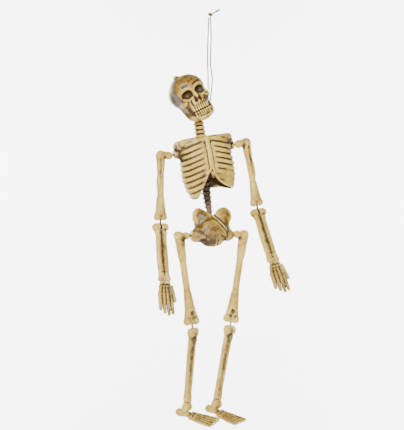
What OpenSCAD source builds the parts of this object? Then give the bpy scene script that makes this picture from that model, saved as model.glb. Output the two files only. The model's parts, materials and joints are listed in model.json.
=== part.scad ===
// Hanging articulated skeleton: moulded bones linked by metal eye pegs and cross pins,
// hung from a doubled twine. +Z is up, the front faces -Y, and +X is to a viewer's right.
// The origin is the hang point, where the two strands of twine meet under the knot.
// Every bone is drawn in its own upright frame and placed by a chain of rest angles.

/* [Hardware] */
// Radius of every cross pin
pin_r = 0.8; // [0.6:0.1:1.0]
// Radius of an eye peg's shank
shank_r = 1.1; // [0.9:0.1:1.3]
// Outer radius of an eye peg's ring
eye_r = 2.6; // [2.2:0.1:2.8]
// Thickness of an eye peg's ring
eye_t = 2.0; // [1.6:0.1:2.2]
// Length of an eye peg from the ring's centre to the end of its head
peg_len = 13.5; // [12.5:0.5:14]
// Radius of an eye peg's captured head
peg_head_r = 1.9; // [1.7:0.1:2.1]
// Thickness of an eye peg's captured head
peg_head_t = 1.2; // [1.0:0.1:1.4]
// Radial clearance of a running fit
fit = 0.05; // [0.03:0.01:0.08]
// Free space at each side of a ring, tongue or head
side_gap = 0.3; // [0.2:0.05:0.4]

/* [Torso] */
// Half width of the ribcage
chest_w = 31; // [29:0.5:32]
// Half depth of the ribcage
chest_d = 20; // [18:0.5:21]
// Height of the ribcage
chest_h = 69; // [66:1:71]
// Wall of the hollow ribcage
chest_wall = 2.2; // [1.8:0.1:2.6]
// Radius of the neck column
neck_r = 6.4; // [6:0.1:6.8]
// Height of the skull's pin above the top of the ribcage
neck_pin_z = 31; // [30:0.5:32]
// Distance of a shoulder's pin from the middle
shoulder_x = 41; // [40.5:0.5:42]
// Radius of a shoulder lug
lug_r = 5.7; // [5:0.1:6]
// Radius of the lumbar spine inside the ribcage
lumbar_r = 7; // [5:0.1:8]
// Depth of the waist's pin below the top of the ribcage
waist_z = 91.5; // [90:0.5:93]

/* [Skull] */
// Radius of the cranium
cranium_r = 20; // [19:0.5:21]
// Height of the cranium's centre above the skull's pin
cranium_z = 22; // [21.5:0.1:23]
// Depth of the chin below the skull's pin
chin_z = 15.5; // [14.5:0.5:16]

/* [Pelvis] */
// Distance of a hip's pin from the middle
hip_x = 30; // [29.5:0.5:31]
// Depth of a hip's pin below the waist's pin
hip_z = 19.3; // [18.5:0.1:20]

/* [Limbs] */
// Length of a humerus from the shoulder's pin to its lower end
humerus_len = 73; // [70:1:76]
// Sideways offset of a humerus's shaft from the shoulder's pin
humerus_off = 9.3; // [9:0.1:10]
// Length of a forearm from the elbow's pin to the wrist's pin
forearm_len = 60; // [57:1:63]
// Length of a hand below the wrist's pin
hand_len = 42.5; // [40:0.5:44]
// Length of a femur from the hip's pin to its lower end
femur_len = 100; // [96:1:104]
// Sideways offset of a femur's shaft from the hip's pin
femur_off = 8.3; // [8:0.1:9]
// Length of a shin from the knee's pin to the ankle's pin
shin_len = 86.5; // [83:0.5:90]
// Length of a foot
foot_len = 53; // [50:1:55]
// How far a foot rolls about its own length, so that its top turns to the front
foot_roll = 30; // [0:1:45]
// Gap between two bones at an elbow or a knee
joint_gap = 3.2; // [2.8:0.1:3.6]

/* [Twine] */
// Diameter of the twine
twine_d = 1.2; // [1:0.1:1.4]

/* [Rest pose] */
// Place of the neck's base
neck_base = [-9.8, 0, -133];
// Lean and turn of the torso
torso_pose = [-8.5, 15];
// Turn and tilt of the skull on the neck
skull_pose = [-4, -19];
// Turn and sway of the pelvis under the waist
pelvis_pose = [3, 6.5];
// Swing, spread, elbow turn, elbow bend and wrist bend of the arm at the viewer's left
left_arm_pose = [0, 9, 4, 15, 2];
// The same for the arm at the viewer's right
right_arm_pose = [0, -1.5, 0, 25, 3];
// Swing, spread, knee turn, knee bend and ankle bend of the leg at the viewer's left
left_leg_pose = [2, -5.7, 42, 15, 3];
// The same for the leg at the viewer's right
right_leg_pose = [-2, 10.6, 35, 2, 6];

/* [Hidden] */
$fn = 40;
HULL_FN = 28;
BONE = "#E3D3A6";
DARK_BONE = "#6B5433";
METAL = "#3A3734";
TWINE = "#B7A487";

slot_t = eye_t + 2 * side_gap;   // width of a slot around an eye
slot_z = eye_r + 0.5;            // depth of that slot past the pin
knuckle_r = 4.2;                 // rounded top of a forearm or shin, about its pin
wrist_r = 3.1;                   // rounded lower end of a forearm, about its pin
ankle_r = 4.6;                   // rounded lower end of a shin, about its pin
tongue_t = 2.2;                  // thickness of a hand's or foot's tongue
chest_y = -8;                    // centre of the ribcage, forward of the neck
lumbar_y = 11;                   // axis of the lumbar spine, behind the neck
lug_face = 35;                   // outer face of a shoulder lug
shoulder_z = [-15.4, -13.4];       // height of the shoulder pins, left and right
hip_y = -2;
hip_face = 24.8;                 // outer face of a hip socket
elbow_z = humerus_len + joint_gap + knuckle_r;
knee_z = femur_len + joint_gap + knuckle_r;

// ---------- Placing ----------
function move(v) = [[1, 0, 0, v.x], [0, 1, 0, v.y], [0, 0, 1, v.z], [0, 0, 0, 1]];
function turn_x(a) = [[1, 0, 0, 0], [0, cos(a), -sin(a), 0], [0, sin(a), cos(a), 0], [0, 0, 0, 1]];
function turn_y(a) = [[cos(a), 0, sin(a), 0], [0, 1, 0, 0], [-sin(a), 0, cos(a), 0], [0, 0, 0, 1]];
function turn_z(a) = [[cos(a), -sin(a), 0, 0], [sin(a), cos(a), 0, 0], [0, 0, 1, 0], [0, 0, 0, 1]];

torso_at = move(neck_base) * turn_y(torso_pose[0]) * turn_z(torso_pose[1]);
neck_eye_at = torso_at * move([0, 0, neck_pin_z]) * turn_z(skull_pose[0]);
skull_at = neck_eye_at * turn_y(skull_pose[1]);
waist_eye_at = torso_at * move([0, lumbar_y, -waist_z]) * turn_z(pelvis_pose[0]);
pelvis_at = waist_eye_at * turn_y(pelvis_pose[1]);

// side is -1 for the limb at the viewer's left and 1 for the one at the right
function height_of_shoulder(side) = side < 0 ? shoulder_z[0] : shoulder_z[1];
function arm_pose(side) = side < 0 ? left_arm_pose : right_arm_pose;
function leg_pose(side) = side < 0 ? left_leg_pose : right_leg_pose;
function shoulder_eye_at(side) =
    torso_at * move([side * shoulder_x, -4, height_of_shoulder(side)]) * turn_x(-arm_pose(side)[0]);
function humerus_at(side) = shoulder_eye_at(side) * turn_y(arm_pose(side)[1]);
function elbow_eye_at(side) =
    humerus_at(side) * move([side * humerus_off, 0, -elbow_z]) * turn_z(arm_pose(side)[2]);
function forearm_at(side) = elbow_eye_at(side) * turn_x(-arm_pose(side)[3]);
function hand_at(side) =
    forearm_at(side) * move([0, 0, -forearm_len]) * turn_x(-arm_pose(side)[4]);
function hip_eye_at(side) =
    pelvis_at * move([side * hip_x, hip_y, -hip_z]) * turn_x(-leg_pose(side)[0]);
function femur_at(side) = hip_eye_at(side) * turn_y(leg_pose(side)[1]);
function knee_eye_at(side) =
    femur_at(side) * move([side * femur_off, 0, -knee_z]) * turn_z(leg_pose(side)[2]);
function shin_at(side) = knee_eye_at(side) * turn_x(leg_pose(side)[3]);
function foot_at(side) =
    shin_at(side) * move([0, 0, -shin_len]) * turn_x(leg_pose(side)[4]);

// ---------- Shared shapes ----------
module rod_x(r, len) {
    rotate([0, 90, 0]) cylinder(r = r, h = len, center = true);
}

module rod_y(r, len) {
    rotate([90, 0, 0]) cylinder(r = r, h = len, center = true);
}

// A ring on a cross pin along Y, with a shank up +Z that ends in a captured head
module eye_peg() {
    color(METAL) difference() {
        union() {
            rod_y(eye_r, eye_t);
            cylinder(r = shank_r, h = peg_len);
            translate([0, 0, peg_len - peg_head_t]) cylinder(r = peg_head_r, h = peg_head_t);
        }
        rod_y(pin_r + fit, 2 * eye_t);
    }
}

// The running bore for an eye peg's shank and the pocket for its head, along +Z from the pin
module peg_bore() {
    cylinder(r = shank_r + fit, h = peg_len - peg_head_t);
    translate([0, 0, peg_len - peg_head_t - side_gap])
        cylinder(r = peg_head_r + side_gap, h = peg_head_t + 2 * side_gap);
}

module cross_pin_x(len) {
    color(METAL) rod_x(pin_r, len);
}

module cross_pin_y(len) {
    color(METAL) rod_y(pin_r, len);
}

// A round shaft that swells towards both ends, from z = -len up to 0
module shaft(len, r_top, r_mid, r_low) {
    steps = 12;
    radii = [for (i = [0:steps])
        let (t = i / steps, up = pow(1 - t, 5), low = pow(t, 5))
        r_mid + (r_top - r_mid) * up + (r_low - r_mid) * low];
    outline = [for (i = [0:steps]) [radii[i], -len * i / steps]];
    rotate_extrude() polygon(concat([[0, 0]], outline, [[0, -len]]));
}

// ---------- Bones ----------
module skull_bone() {
    slot_half = 7;
    color(BONE) difference() {
        union() {
            hull($fn = HULL_FN) {
                translate([-0.6, -6, cranium_z]) sphere(r = cranium_r - 1.5, $fn = HULL_FN);
                translate([-0.6, 6, cranium_z]) sphere(r = cranium_r, $fn = HULL_FN);
            }
            hull() {
                for (side = [-1, 1]) {
                    translate([side * 13.5, -16, cranium_z - 11]) sphere(r = 5, $fn = HULL_FN);
                    translate([side * 7, -22.5, 3 - chin_z]) sphere(r = 3, $fn = HULL_FN);
                    translate([side * 10.5, -14, -3]) sphere(r = 3.4, $fn = HULL_FN);
                }
                translate([0, -20, cranium_z]) sphere(r = 6, $fn = HULL_FN);
            }
            hull() {
                for (side = [-1, 1]) {
                    translate([side * 7, -6, 5]) sphere(r = 4, $fn = HULL_FN);
                }
            }
            sphere(r = 5.2);
            translate([-4.4, -2, cranium_z + 19.4]) sphere(r = 3);
        }
        for (side = [-1, 1]) {
            translate([side * 8.2, -27.5, cranium_z - 3.5]) sphere(r = 5.4);
        }
        translate([0, -28.5, cranium_z - 12]) rotate([0, 0, 45]) cylinder(r = 3, h = 7, center = true);
        translate([-slot_half, -slot_t / 2, -slot_half]) cube([2 * slot_half, slot_t, slot_half + slot_z]);
        rod_y(pin_r, 8.4);
    }
}

// Half width, half depth and height of each level of the ribcage
chest_levels = [
    [0.86, 0.62, 0], [0.92, 0.76, -0.05], [0.93, 0.88, -0.15], [0.97, 0.97, -0.30],
    [1.00, 1.00, -0.50], [0.98, 0.99, -0.68], [0.89, 0.95, -0.84], [0.72, 0.86, -1.00]
];
chest_sides = 32;

function chest_ring(level, inset) = [for (i = [0:chest_sides - 1])
    let (a = 360 * i / chest_sides)
    [(chest_w * level[0] - inset) * cos(a), chest_y + (chest_d * level[1] - inset) * sin(a), chest_h * level[2]]];

// A closed skin from a stack of rings of the same size, with flat ends
module skin(rings) {
    n = len(rings[0]);
    last = len(rings) - 1;
    points = [for (ring = rings) for (p = ring) p];
    walls = [for (k = [0:last - 1]) for (i = [0:n - 1])
        let (j = (i + 1) % n)
        each [[k * n + i, k * n + j, (k + 1) * n + j], [k * n + i, (k + 1) * n + j, (k + 1) * n + i]]];
    top = [for (i = [n - 1:-1:0]) i];
    bottom = [for (i = [0:n - 1]) last * n + i];
    polyhedron(points = points, faces = concat([top, bottom], walls));
}

module chest_arch(outline, y_from, y_to) {
    translate([0, y_to, 0]) rotate([90, 0, 0]) linear_extrude(y_to - y_from) polygon(outline);
}

module ribcage_bone() {
    below = -chest_h - 5;
    hollow = [for (level = chest_levels) [level[0], level[1], min(level[2], -0.045)]];
    color(BONE) difference() {
        union() {
            difference() {
                skin([for (level = chest_levels) chest_ring(level, 0)]);
                skin(concat([for (level = hollow) if (level[2] < -0.046) chest_ring(level, chest_wall)],
                    [chest_ring([0.72, 0.86, -1.1], chest_wall)]));
                chest_arch([[0, -36], [5, -39], [13, -52], [18, below], [-18, below], [-13, -52], [-5, -39]],
                    -40, chest_y);
                chest_arch([[0, -54], [14, -62], [18, below], [-18, below], [-14, -62]], chest_y, 20);
            }
            for (side = [-1, 1]) {
                translate([side * (lug_face + 24) / 2, -4, height_of_shoulder(side)]) rod_x(lug_r, lug_face - 24);
                translate([side * 29, -4, -6]) rod_x(5, 10);
            }
        }
        for (side = [-1, 1]) {
            translate([side * shoulder_x, -4, height_of_shoulder(side)]) rotate([0, -side * 90, 0]) peg_bore();
        }
    }
}

// Stacked rounded rings from z = -len up to 0, with radii that run evenly from top to bottom
module ringed_column(len, r_top, r_low, rings) {
    groove = 0.85;
    pitch = len / rings;
    side = [for (k = [0:rings - 1])
        let (r = r_top + (r_low - r_top) * k / max(1, rings - 1), z = -k * pitch)
        each [[r * groove, z], [r, z - pitch * 0.3], [r, z - pitch * 0.7], [r * groove, z - pitch * 0.98]]];
    rotate_extrude() polygon(concat([[0, 0]], side, [[0, -len]]));
}

module neck_column_bone() {
    top = neck_pin_z - 5.7;
    collar_r = 4;                    // waist that the twine goes round
    collar_h = 6;
    color(BONE) difference() {
        union() {
            translate([0, 0, top - collar_h]) ringed_column(top - collar_h, neck_r - 0.6, neck_r, 4);
            translate([0, 0, top - collar_h - 0.5]) cylinder(r = collar_r, h = collar_h + 0.5);
        }
        translate([0, 0, neck_pin_z]) rotate([180, 0, 0]) peg_bore();
    }
}

module lumbar_spine_bone() {
    end_z = waist_z - 4.5;
    top_z = 28;
    color(DARK_BONE) difference() {
        translate([0, lumbar_y, -top_z]) ringed_column(end_z - top_z, lumbar_r, 3.4, 11);
        translate([0, lumbar_y, -waist_z]) peg_bore();
    }
}

module pelvis_bone() {
    color(BONE) difference() {
        union() {
            hull() {
                translate([0, 0, -6]) sphere(r = 6.5, $fn = HULL_FN);
                for (side = [-1, 1]) {
                    translate([side * 17, -3, 2.5]) sphere(r = 5.5, $fn = HULL_FN);
                    translate([side * 15, -6, -14]) sphere(r = 6, $fn = HULL_FN);
                }
            }
            hull() {
                for (side = [-1, 1]) {
                    translate([side * 7, -11, -27]) sphere(r = 5, $fn = HULL_FN);
                    translate([side * 15, -4, -16]) sphere(r = 6, $fn = HULL_FN);
                }
                translate([0, -9, -14]) sphere(r = 6, $fn = HULL_FN);
            }
            for (side = [-1, 1]) {
                translate([side * (hip_face + 8) / 2, hip_y, -hip_z]) rod_x(5.8, hip_face - 8);
            }
        }
        translate([-8, -slot_t / 2, -slot_z]) cube([16, slot_t, 20]);
        translate([-5, -5, 3.3]) cube([10, 14, 12]);
        rod_y(pin_r, 8.4);
        for (side = [-1, 1]) {
            translate([side * hip_x, hip_y, -hip_z]) rotate([0, -side * 90, 0]) peg_bore();
        }
    }
}

// The head end of a humerus or femur: a slotted ball on the pin, joined to the shaft's top
module ball_end(ball_r, offset, top_r, rise) {
    difference() {
        union() {
            sphere(r = ball_r);
            rotate([0, rise - 90, 0]) cylinder(r1 = ball_r - 0.5, r2 = top_r - 0.3, h = offset);
            translate([-offset, 0, offset * sin(rise) - 1]) sphere(r = top_r);
        }
        translate([-slot_z, -slot_t / 2, -slot_z]) cube([8 + slot_z, slot_t, 8 + slot_z]);
        rod_y(pin_r, 6.4);
    }
}

// The two knuckles at a long bone's lower end, at z = 0, with a notch between them
module condyles(half_w, r) {
    for (side = [-1, 1]) {
        translate([side * (half_w - r), 0, r]) sphere(r = r);
    }
    translate([0, 0, r + 1]) rod_x(r - 0.3, 2 * (half_w - r));
    translate([0, 0, r]) cylinder(r1 = half_w - 2.4, r2 = r, h = 11);
}

// A long bone of the limb at the viewer's left, mirrored for the one at the right
module sided(side) {
    mirror([side > 0 ? 1 : 0, 0, 0]) children();
}

module humerus_bone() {
    color(BONE) difference() {
        union() {
            ball_end(4.6, humerus_off, 4.9, 4);
            translate([-humerus_off, 0, 0]) shaft(humerus_len - 5, 4.7, 4.2, 4.6);
            translate([-humerus_off, 0, -humerus_len]) condyles(7.6, 4.1);
        }
        translate([-humerus_off, 0, -elbow_z]) peg_bore();
    }
}

module femur_bone() {
    color(BONE) difference() {
        union() {
            ball_end(4.3, femur_off, 5, -4);
            translate([-femur_off, 0, -1]) shaft(femur_len - 6, 5, 4.3, 4.8);
            translate([-femur_off, 0, -femur_len]) condyles(9.3, 4.6);
        }
        translate([-femur_off, 0, -knee_z]) peg_bore();
    }
}

// The slotted knuckle at the top of a forearm or shin, about a pin along X
module knuckle(half_w) {
    difference() {
        union() {
            rod_x(knuckle_r, 2 * half_w);
            translate([0, 0, -9]) cylinder(r1 = 3.6, r2 = half_w - 0.5, h = 8);
        }
        for (side = [-1, 1]) {
            translate([side * (half_w + 8), 0, 0]) rotate([0, side * 20, 0])
                translate([0, 0, 10]) cube([16, 20, 20], center = true);
        }
    }
}

module forearm_bone() {
    end = forearm_len + wrist_r;
    difference() {
        union() {
            knuckle(6.7);
            for (side = [-1, 1]) {
                translate([side * 3.8, 0, 0]) rotate([0, -side * 0.9, 0])
                    translate([0, 0, -2]) shaft(forearm_len - 4, 3.2, 2.7, 3.2);
            }
            translate([0, 0, -forearm_len]) rod_x(wrist_r, 11.8);
            translate([0, 0, -forearm_len + 3]) cube([11, 2 * wrist_r, 6], center = true);
        }
        translate([-slot_t / 2, -10, -slot_z]) cube([slot_t, 20, 20]);
        rod_x(pin_r, 9.4);
        translate([-tongue_t / 2 - side_gap, -10, -end - 1]) cube([tongue_t + 2 * side_gap, 20, 2 * wrist_r + 1.4]);
        translate([0, 0, -forearm_len]) rod_x(pin_r, 8);
    }
}

module shin_bone() {
    end = shin_len + ankle_r;
    difference() {
        union() {
            knuckle(6);
            translate([0, 0, -2]) shaft(shin_len - 2, 4.6, 3.9, 4.4);
            translate([0, 0, -shin_len]) rod_x(ankle_r, 11.4);
            translate([0, 0, -shin_len + 1]) cylinder(r1 = 4.6, r2 = 4, h = 12);
        }
        translate([-slot_t / 2, -10, -slot_z]) cube([slot_t, 20, 20]);
        rod_x(pin_r, 8.4);
        translate([-tongue_t / 2 - side_gap, -10, -end - 1]) cube([tongue_t + 2 * side_gap, 20, 2 * ankle_r + 1]);
        translate([0, 0, -shin_len]) rod_x(pin_r, 8);
    }
}

// A hand's or foot's tongue on the pin, with its neck down to z = -reach
module tongue(reach) {
    rod_x(eye_r, tongue_t);
    translate([0, 0, -reach / 2]) cube([tongue_t, 4.4, reach], center = true);
}

// One finger or toe: a tapered round rod from the knuckle at the origin down -Z
module digit(len, r) {
    translate([0, 0, -len + r * 0.7]) cylinder(r1 = r * 0.7, r2 = r, h = len - r * 0.7);
    translate([0, 0, -len + r * 0.7]) sphere(r = r * 0.7);
    sphere(r = r);
}

module hand_bone() {
    palm_z = -17;
    // sideways place, spread angle and length of each finger, the thumb last
    fingers = [[-6.8, -1.5, 19.6], [-2.5, -0.6, 23], [1.8, 0.4, hand_len + palm_z], [6, 1.4, 24]];
    difference() {
        union() {
            difference() {
                union() {
                    hull() {
                        for (x = [-4.2, 4.2]) {
                            translate([x, 0, -5.6]) sphere(r = 2.7, $fn = HULL_FN);
                        }
                        for (x = [-6.6, 5.8]) {
                            translate([x, 0, palm_z]) sphere(r = 2.2, $fn = HULL_FN);
                        }
                    }
                    for (f = fingers) {
                        translate([f[0], 0, palm_z]) rotate([0, -f[1], 0]) digit(f[2], 2.1);
                    }
                    translate([7, -1, -9.5]) rotate([0, -10, 0]) digit(18.5, 2.1);
                }
                rod_x(wrist_r + 0.4, 30);
            }
            tongue(6);
        }
        rod_x(pin_r + fit, 4);
    }
}

module foot_bone() {
    heel_y = 13;                     // the heel's reach behind the ankle
    sole_z = -12;
    toe_y = heel_y - foot_len;
    difference() {
        union() {
            difference() {
                translate([0, 0, -8]) rotate([0, -foot_roll, 0]) translate([0, 0, 8]) union() {
                    hull() {
                        translate([0, heel_y - 4.5, sole_z + 4.5]) sphere(r = 4.5, $fn = HULL_FN);
                        translate([0, 0, -9]) sphere(r = 4.6, $fn = HULL_FN);
                        translate([0, -8, -8.4]) sphere(r = 4.2, $fn = HULL_FN);
                    }
                    hull() {
                        translate([0, -8, -9]) sphere(r = 3.8, $fn = HULL_FN);
                        for (x = [-6, 6]) {
                            translate([x, -24, -9.6]) sphere(r = 2.3, $fn = HULL_FN);
                        }
                    }
                    for (k = [-2:2]) {
                        translate([k * 3.2, -23, -9.6]) rotate([-86, 0, 2.2 * k])
                            digit(-toe_y - 23 - abs(k - 1) * 1.1, 1.75);
                    }
                }
                rod_x(ankle_r + 0.4, 30);
            }
            tongue(8);
        }
        rod_x(pin_r + fit, 4);
    }
}

// ---------- Twine ----------
// Route of the strand that goes behind the neck, from the knot down to the neck's left
left_route = [
    [-0.9, 0, 2.6], [-1.3, 0, -8], [-1.8, 0.4, -22], [-2.3, 0.9, -41], [-1.9, 1.6, -58],
    [-1.6, 2.6, -74], [-1.8, 4.2, -86], [-3.4, 6.2, -97], [-7.2, 6.9, -105],
    [-11.6, 5.4, -109], [-16.2, 4.5, -110.2], [-18.5, 0, -110.8]
];
// Route of the strand that goes round the neck's front, from the knot down to the same place
right_route = [
    [0.9, 0, 2.6], [1.6, 0, -10], [1.7, 0, -26], [1, 0, -48], [2.6, 0.2, -62],
    [3, 0.5, -71], [1.8, 0.8, -83], [0.2, 0.8, -94], [-3, -0.4, -102.5],
    [-7.6, -2.4, -107.4], [-12.4, -5.1, -109.6], [-16.8, -4, -110.6], [-18.5, 0, -110.8]
];
twine_step = 3;

function clamp(i, n) = max(0, min(n - 1, i));
function between(a, b, c, d, t) =
    0.5 * (2 * b + (c - a) * t + (2 * a - 5 * b + 4 * c - d) * t * t + (3 * b - a - 3 * c + d) * t * t * t);
// The route's points again, evened out on one smooth curve through them
function smooth(route) = let (n = len(route)) concat([for (i = [0:n - 2])
    let (parts = max(1, round(norm(route[i + 1] - route[i]) / twine_step)))
    for (k = [0:parts - 1])
        between(route[clamp(i - 1, n)], route[i], route[i + 1], route[clamp(i + 2, n)], k / parts)],
    [route[n - 1]]);
function unit(v) = v / norm(v);
function heading(line, i) = unit(line[clamp(i + 1, len(line))] - line[clamp(i - 1, len(line))]);
function across(line, i, before) = let (h = heading(line, i)) unit(before - (before * h) * h);
function frames(line, i, before) = i == len(line) ? [] :
    let (side = across(line, i, before)) concat([side], frames(line, i + 1, side));

module twine_tube(route) {
    sides = 8;
    line = smooth(route);
    across_all = frames(line, 0, [1, 0, 0]);
    rings = [for (i = [0:len(line) - 1])
        let (u = across_all[i], v = cross(heading(line, i), u))
        [for (k = [0:sides - 1]) line[i] + twine_d / 2 * (cos(360 * k / sides) * u + sin(360 * k / sides) * v)]];
    color(TWINE) skin([for (i = [len(rings) - 1:-1:0]) rings[i]]);
}

module twine_left_strand() {
    twine_tube(left_route);
}

module twine_right_strand() {
    twine_tube(right_route);
}

module tail(from, to, r) {
    reach = to - from;
    translate(from) rotate([0, atan2(reach.x, reach.z), 0]) cylinder(r = r, h = norm([reach.x, reach.z]));
}

module twine_knot() {
    knot_r = 2.4;
    centre = [0.9, 0, 3 + knot_r - 0.3];
    color(TWINE) {
        translate(centre) sphere(r = knot_r);
        tail(centre, [11.6, 0, 9.6], 0.9);
        tail(centre, [11, 0, 11.6], 0.9);
    }
}

// ---------- Nodes ----------
module skull() { multmatrix(skull_at) skull_bone(); }
module ribcage() { multmatrix(torso_at) ribcage_bone(); }
module neck_column() { multmatrix(torso_at) neck_column_bone(); }
module lumbar_spine() { multmatrix(torso_at) lumbar_spine_bone(); }
module pelvis() { multmatrix(pelvis_at) pelvis_bone(); }
module humerus(side) { multmatrix(humerus_at(side)) sided(side) humerus_bone(); }
module forearm(side) { color(BONE) multmatrix(forearm_at(side)) forearm_bone(); }
module hand(side) { color(BONE) multmatrix(hand_at(side)) hand_bone(); }
module femur(side) { multmatrix(femur_at(side)) sided(side) femur_bone(); }
module shin(side) { color(BONE) multmatrix(shin_at(side)) shin_bone(); }
module foot(side) { color(BONE) multmatrix(foot_at(side)) foot_bone(); }

module neck_eye_peg() { multmatrix(neck_eye_at * turn_y(180)) eye_peg(); }
module waist_eye_peg() { multmatrix(waist_eye_at) eye_peg(); }
module shoulder_eye_peg(side) { multmatrix(shoulder_eye_at(side) * turn_y(-side * 90)) eye_peg(); }
module elbow_eye_peg(side) { multmatrix(elbow_eye_at(side) * turn_z(90)) eye_peg(); }
module hip_eye_peg(side) { multmatrix(hip_eye_at(side) * turn_y(-side * 90)) eye_peg(); }
module knee_eye_peg(side) { multmatrix(knee_eye_at(side) * turn_z(90)) eye_peg(); }

module skull_pin() { multmatrix(skull_at) cross_pin_y(8.4); }
module waist_pin() { multmatrix(pelvis_at) cross_pin_y(8.4); }
module shoulder_pin(side) { multmatrix(humerus_at(side)) cross_pin_y(6.4); }
module elbow_pin(side) { multmatrix(forearm_at(side)) cross_pin_x(9.4); }
module wrist_pin(side) { multmatrix(forearm_at(side) * move([0, 0, -forearm_len])) cross_pin_x(8); }
module hip_pin(side) { multmatrix(femur_at(side)) cross_pin_y(6.4); }
module knee_pin(side) { multmatrix(shin_at(side)) cross_pin_x(8.4); }
module ankle_pin(side) { multmatrix(shin_at(side) * move([0, 0, -shin_len])) cross_pin_x(8); }

skull();
ribcage();
neck_column();
lumbar_spine();
pelvis();
humerus(-1);  // left_humerus
humerus(1);  // right_humerus
forearm(-1);  // left_forearm
forearm(1);  // right_forearm
hand(-1);  // left_hand
hand(1);  // right_hand
femur(-1);  // left_femur
femur(1);  // right_femur
shin(-1);  // left_shin
shin(1);  // right_shin
foot(-1);  // left_foot
foot(1);  // right_foot
neck_eye_peg();
waist_eye_peg();
shoulder_eye_peg(-1);  // left_shoulder_eye_peg
shoulder_eye_peg(1);  // right_shoulder_eye_peg
elbow_eye_peg(-1);  // left_elbow_eye_peg
elbow_eye_peg(1);  // right_elbow_eye_peg
hip_eye_peg(-1);  // left_hip_eye_peg
hip_eye_peg(1);  // right_hip_eye_peg
knee_eye_peg(-1);  // left_knee_eye_peg
knee_eye_peg(1);  // right_knee_eye_peg
skull_pin();
waist_pin();
shoulder_pin(-1);  // left_shoulder_pin
shoulder_pin(1);  // right_shoulder_pin
elbow_pin(-1);  // left_elbow_pin
elbow_pin(1);  // right_elbow_pin
wrist_pin(-1);  // left_wrist_pin
wrist_pin(1);  // right_wrist_pin
hip_pin(-1);  // left_hip_pin
hip_pin(1);  // right_hip_pin
knee_pin(-1);  // left_knee_pin
knee_pin(1);  // right_knee_pin
ankle_pin(-1);  // left_ankle_pin
ankle_pin(1);  // right_ankle_pin
twine_left_strand();
twine_right_strand();
twine_knot();
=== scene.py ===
import json

import bmesh
import bpy
import numpy as np
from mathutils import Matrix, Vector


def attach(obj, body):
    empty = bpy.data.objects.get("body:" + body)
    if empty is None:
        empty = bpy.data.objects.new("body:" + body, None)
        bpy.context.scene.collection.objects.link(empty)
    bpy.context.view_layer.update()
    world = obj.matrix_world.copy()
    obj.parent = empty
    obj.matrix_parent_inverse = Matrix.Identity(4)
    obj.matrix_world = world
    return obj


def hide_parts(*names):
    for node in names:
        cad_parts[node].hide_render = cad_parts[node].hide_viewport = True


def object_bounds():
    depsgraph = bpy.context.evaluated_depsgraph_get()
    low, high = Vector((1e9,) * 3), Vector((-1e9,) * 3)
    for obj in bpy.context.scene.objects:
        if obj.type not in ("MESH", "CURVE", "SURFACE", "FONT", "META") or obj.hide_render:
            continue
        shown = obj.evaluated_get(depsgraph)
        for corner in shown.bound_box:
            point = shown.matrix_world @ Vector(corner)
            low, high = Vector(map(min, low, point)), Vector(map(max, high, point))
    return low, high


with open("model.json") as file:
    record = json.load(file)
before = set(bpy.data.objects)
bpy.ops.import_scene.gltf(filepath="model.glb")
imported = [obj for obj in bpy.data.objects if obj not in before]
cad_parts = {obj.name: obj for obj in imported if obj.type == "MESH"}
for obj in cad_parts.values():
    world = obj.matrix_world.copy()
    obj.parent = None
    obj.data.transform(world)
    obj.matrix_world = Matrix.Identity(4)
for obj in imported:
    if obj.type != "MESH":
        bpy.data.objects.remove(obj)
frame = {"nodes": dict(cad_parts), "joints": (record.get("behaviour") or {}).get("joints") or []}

import openvdb
from mathutils import Vector

cad_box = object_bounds()

MM = 0.001                       # bones are sculpted in millimetres, in their own frames
JOINTS = {j["name"]: j for j in frame["joints"]}
SIDES = {"left": -1, "right": 1}


# ---------- Camera ----------
CAMERA_BACK = 2.2                # metres in front of the figure
LENS = 163.5
camera_data = bpy.data.cameras.new("camera")
camera_data.lens = LENS
camera_data.sensor_width = 36
camera_data.sensor_fit = "AUTO"
camera = bpy.data.objects.new("camera", camera_data)
bpy.context.scene.collection.objects.link(camera)
VIEW_CENTRE = Vector((-0.0085, 0, -0.2205))
camera.location = VIEW_CENTRE + Vector((0, -CAMERA_BACK, 0))
camera.rotation_euler = (np.pi / 2, 0, 0)
bpy.context.scene.camera = camera


# ---------- Frames of the bones, from the CAD joints ----------
def pin(joint):
    return np.array(JOINTS[joint]["pos_m"]) / MM


def axis(joint, sign=1):
    a = sign * np.array(JOINTS[joint]["axis"])
    return a / np.linalg.norm(a)


def basis(origin, x=None, y=None, z=None):
    """A frame as a 4x4 in millimetres, from its origin and two of its axes."""
    if x is None:
        x = np.cross(y, z)
    if y is None:
        y = np.cross(z, x)
    if z is None:
        z = np.cross(x, y)
    m = np.eye(4)
    m[:3, 0], m[:3, 1], m[:3, 2], m[:3, 3] = x, y, z, origin
    return m


def turned(vector, about, degrees):
    c, s = np.cos(np.radians(degrees)), np.sin(np.radians(degrees))
    return vector * c + np.cross(about, vector) * s + about * (about @ vector) * (1 - c)


NECK_PIN_Z = 31                  # height of the neck's pin in the torso's frame
SKULL_REST = -19                 # bends at rest, in degrees
WRIST_REST = {"left": 2, "right": 3}
ANKLE_REST = {"left": 3, "right": 6}

torso_z = axis("neck_turn")
torso_x = axis("left_shoulder_swing", -1)
torso_at = basis(pin("neck_turn") - NECK_PIN_Z * torso_z, x=torso_x, z=torso_z)
skull_y = axis("skull_tilt")
skull_at = basis(pin("neck_turn"), y=skull_y, z=turned(torso_z, skull_y, SKULL_REST))
pelvis_y, pelvis_x = axis("waist_sway"), axis("left_hip_swing", -1)
pelvis_at = basis(pin("waist_sway"), x=pelvis_x, y=pelvis_y)


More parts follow.
